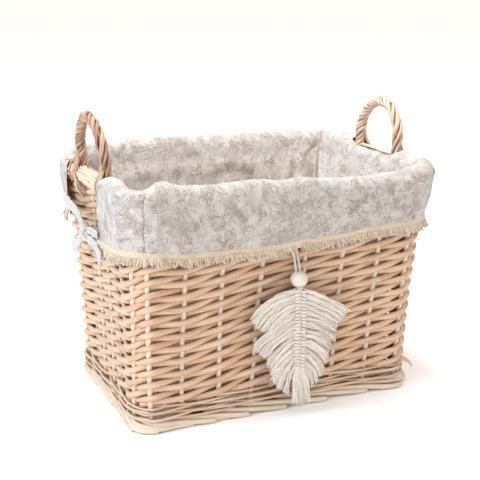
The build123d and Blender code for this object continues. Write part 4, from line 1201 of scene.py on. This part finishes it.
# knotted spine
LY = -134.0
g = Geo()
r5 = np.random.default_rng(5)
zk = np.linspace(152.0, 61.0, 24)
for q, z in enumerate(zk):
    for s_ in (-1, 1):
        z1 = z - (1.9 if s_ > 0 else 0.0)
        pts = [(TX + s_ * 0.1, LY + 0.6, z1 + 0.7), (TX + s_ * 0.8, LY - 2.8, z1 + 0.6), (TX + s_ * 3.0, LY - 4.1, z1 + 0.1),
               (TX + s_ * 5.2, LY - 3.1, z1 - 0.5), (TX + s_ * 6.3, LY - 0.2, z1 - 0.3), (TX + s_ * 5.0, LY + 2.4, z1 + 0.3), (TX + s_ * 1.0, LY + 3.0, z1 + 0.6)]
        pts = [(a + r5.normal(0, 0.18), b + r5.normal(0, 0.15), c + r5.normal(0, 0.18)) for a, b, c in pts]
        plied(g, smooth_line(pts, 1.0), 1.95, 3, 9.0, 6, r5.uniform(0.45, 0.85), ref=(0, 0, 1))
pts = [(TX, LY, 155.0), (TX + 0.4, LY + 0.2, 120), (TX, LY, 60)]
tube(g, smooth_line(pts, 4), 3.2, 10, 0.5, (0, 1, 0))
g.make("leaf_knots", M_COTTON, "tassel", ["leaf_spine"], "cotton_cord")

# strands on both sides in overlapping lobes, brushed out at the ends: (first and last knot height, droop, tips)
LOBES = {
    -1: ((151.5, 127.0, 9.0, ((-57, 126), (-55, 122), (-52, 117), (-49, 113), (-45, 110), (-39, 109), (-32, 112))),
         (125.5, 101.0, 4.0, ((-53, 95), (-52, 90), (-49, 85), (-45, 81), (-40, 80))),
         (99.5, 61.5, 4.5, ((-39, 73), (-37, 67), (-34, 61), (-33, 54), (-30, 47), (-25, 41), (-19, 34), (-12, 29)))),
    1: ((151.5, 128.0, 2.5, ((62, 115), (58, 113), (54, 110), (50, 107), (48, 104), (45, 101))),
        (126.5, 91.0, 4.0, ((47, 101), (46, 96), (45, 91), (43, 86), (41, 80), (39, 74), (37, 68))),
        (89.5, 61.5, 4.5, ((35, 62), (33, 55), (31, 48), (28, 42), (23, 37), (16, 33)))),
}


def strand(g, pts, rad, tint, r, flare=2.0, yarns=10, uneven=5.0):
    """A loose strand of fine yarns that spread and part towards the tip."""
    L = smooth_line(pts, 2.3)
    T = unitv(np.gradient(L, axis=0))
    B = unitv(np.cross(T, (0, 1, 0)))
    N = np.cross(B, T)
    n = len(L)
    u = np.concatenate([[0], np.cumsum(np.linalg.norm(np.diff(L, axis=0), axis=1))])
    w = u / u[-1]
    grow = rad * (1 + (flare - 1) * np.clip((w - 0.45) / 0.55, 0, 1) ** 1.6)
    twist = r.uniform(0.3, 0.8) * (1 if r.random() < 0.8 else -1)
    for q in range(yarns):
        a0 = r.uniform(0, 2 * np.pi)
        k = math.sqrt((q + 0.5) / yarns)
        ph = a0 + 2 * np.pi * twist * np.clip(w / 0.75, 0, 1)
        sway = wavy(u, 0.5, 21, int(r.integers(1, 9999))) * np.clip(w * 3, 0, 1)
        P = L + (grow * k * np.cos(ph) + sway)[:, None] * B + (grow * k * 0.72 * np.sin(ph))[:, None] * N
        stop = n - int(r.integers(0, max(1, int(uneven / 2.3)) + 1))
        tail = P[stop - 1] + T[stop - 1] * r.uniform(0.3, 2.4) + B[stop - 1] * r.normal(0, 0.5)
        P = np.concatenate([P[:stop], [tail]])
        rr = np.full(len(P), 0.74)
        rr[-3:] = (0.66, 0.54, 0.32)
        tube(g, P, rr, 5, np.clip(tint + r.normal(0, 0.16), 0, 1), (0, 1, 0))


for s_, name in ((-1, "left"), (1, "right")):
    g = Geo()
    r = np.random.default_rng(11 + s_)
    for lobe, (za, zb, droop, tips) in enumerate(LOBES[s_]):
        steps = int(2.3 * len(tips))
        for q in range(steps):
            f = q / (steps - 1)
            dx = float(np.interp(f * (len(tips) - 1), range(len(tips)), [t[0] for t in tips]))
            tz = float(np.interp(f * (len(tips) - 1), range(len(tips)), [t[1] for t in tips]))
            z0 = za + (zb - za) * f
            back = (q % 3) * 0.5
            ex, ez = dx * (1 - 0.06 * back) + r.normal(0, 1.1), tz + r.normal(0, 1.2) - 1.0 * back
            y0 = LY - 1.4 + 3.0 * back + 0.4 * lobe
            span = abs(ex)
            arch = droop * (1 - 0.55 * f) if lobe == 0 else droop * (0.7 + 0.5 * f)
            jz = r.normal(0, 0.7)
            pts = [(TX + s_ * 4.0, y0, z0),
                   (TX + s_ * (4.6 + 0.26 * (span - 4.6)), y0 - 1.3 + r.normal(0, 0.4), z0 + (ez - z0) * 0.24 + arch * 0.75 + jz),
                   (TX + s_ * (4.6 + 0.60 * (span - 4.6)), y0 - 1.0 + r.normal(0, 0.5), z0 + (ez - z0) * 0.57 + arch - jz * 0.6),
                   (TX + s_ * (4.6 + 0.86 * (span - 4.6)), y0 + 0.0 + r.normal(0, 0.5), z0 + (ez - z0) * 0.83 + arch * 0.62),
                   (TX + s_ * span, y0 + 0.8 + r.normal(0, 0.6), ez)]
            # painted shade: strands lying further back get a darker tint
            strand(g, pts, 1.75 + r.uniform(-0.15, 0.2), np.clip(r.uniform(0.4, 0.95) - 0.1 * back, 0, 1), r)
    g.make(f"leaf_strands_{name}", M_COTTON, "tassel", [f"leaf_fronds_{name}"], "cotton_cord")
g = Geo()
r = np.random.default_rng(31)
for q in range(12):
    x = -7.5 + 1.75 * q
    y = LY + (1.5 if q % 2 else -1.4)
    e = r.uniform(11.0, 16.5) + (2.5 if q in (0, 11) else 0)
    pts = [(TX + x * 0.42, y, 63.0), (TX + x * 0.75, y - 1.3, 54.0), (TX + x * 0.95 + 1.2, y - 0.5, 38.0), (TX + x + 2.4 + r.normal(0, 0.8), y + 0.2, e)]
    strand(g, pts, 1.8, r.uniform(0.4, 0.95), r, 1.5, 12, 5.0)
g.make("leaf_end", M_COTTON, "tassel", ["leaf_tail"], "cotton_cord")

# ------------------------------------------------------------------ floor and light
me = bpy.data.meshes.new("floor")
q = 20.0
me.from_pydata([(-q, -q, 0), (q, -q, 0), (q, q, 0), (-q, q, 0)], [], [[0, 1, 2, 3]])
floor = bpy.data.objects.new("floor", me)
S.collection.objects.link(floor)
fm = Mat("floor_paper")
tc = fm.node("ShaderNodeTexCoord").outputs["Object"]
grain = fm.noise(tc, 40.0, 3.0)
fm.set(Base_Color=fm.ramp(grain, [(0.3, (0.94, 0.94, 0.94)), (0.7, (0.96, 0.96, 0.96))]))
fm.b.inputs["Roughness"].default_value = 0.9
me.materials.append(fm.m)

world = bpy.data.worlds.new("studio")
S.world = world
world.use_nodes = True
bg = world.node_tree.nodes["Background"]
bg.inputs[0].default_value = (1.0, 0.965, 0.925, 1)
bg.inputs[1].default_value = 1.06


def area_light(name, loc, target, size, power, color=(1, 1, 1)):
    d = bpy.data.lights.new(name, "AREA")
    d.shape = "SQUARE"
    d.size = size
    d.energy = power
    d.color = color
    o = bpy.data.objects.new(name, d)
    o.location = loc
    o.rotation_mode = "QUATERNION"
    o.rotation_quaternion = (Vector(target) - Vector(loc)).to_track_quat("-Z", "Y")
    S.collection.objects.link(o)
    return o


area_light("key", (-2.3, -0.2, 1.3), (0, 0, 0.15), 1.5, 61.0, (0.71, 0.88, 1.0))
lamp = area_light("top", (0.02, -0.02, 0.98), (0.0, 0.05, 0.1), 0.24, 8.2, (1.0, 0.98, 0.96))
lamp.data.shape = "RECTANGLE"
lamp.data.size_y = 0.12
area_light("front", (-0.9, -2.2, 0.75), (0, 0, 0.15), 1.8, 20.5, (1.0, 0.955, 0.92))
area_light("back", (0.6, 1.6, 2.2), (0, 0, 0.1), 1.6, 4.0)
S.view_settings.view_transform = "Standard"
S.view_settings.look = "None"
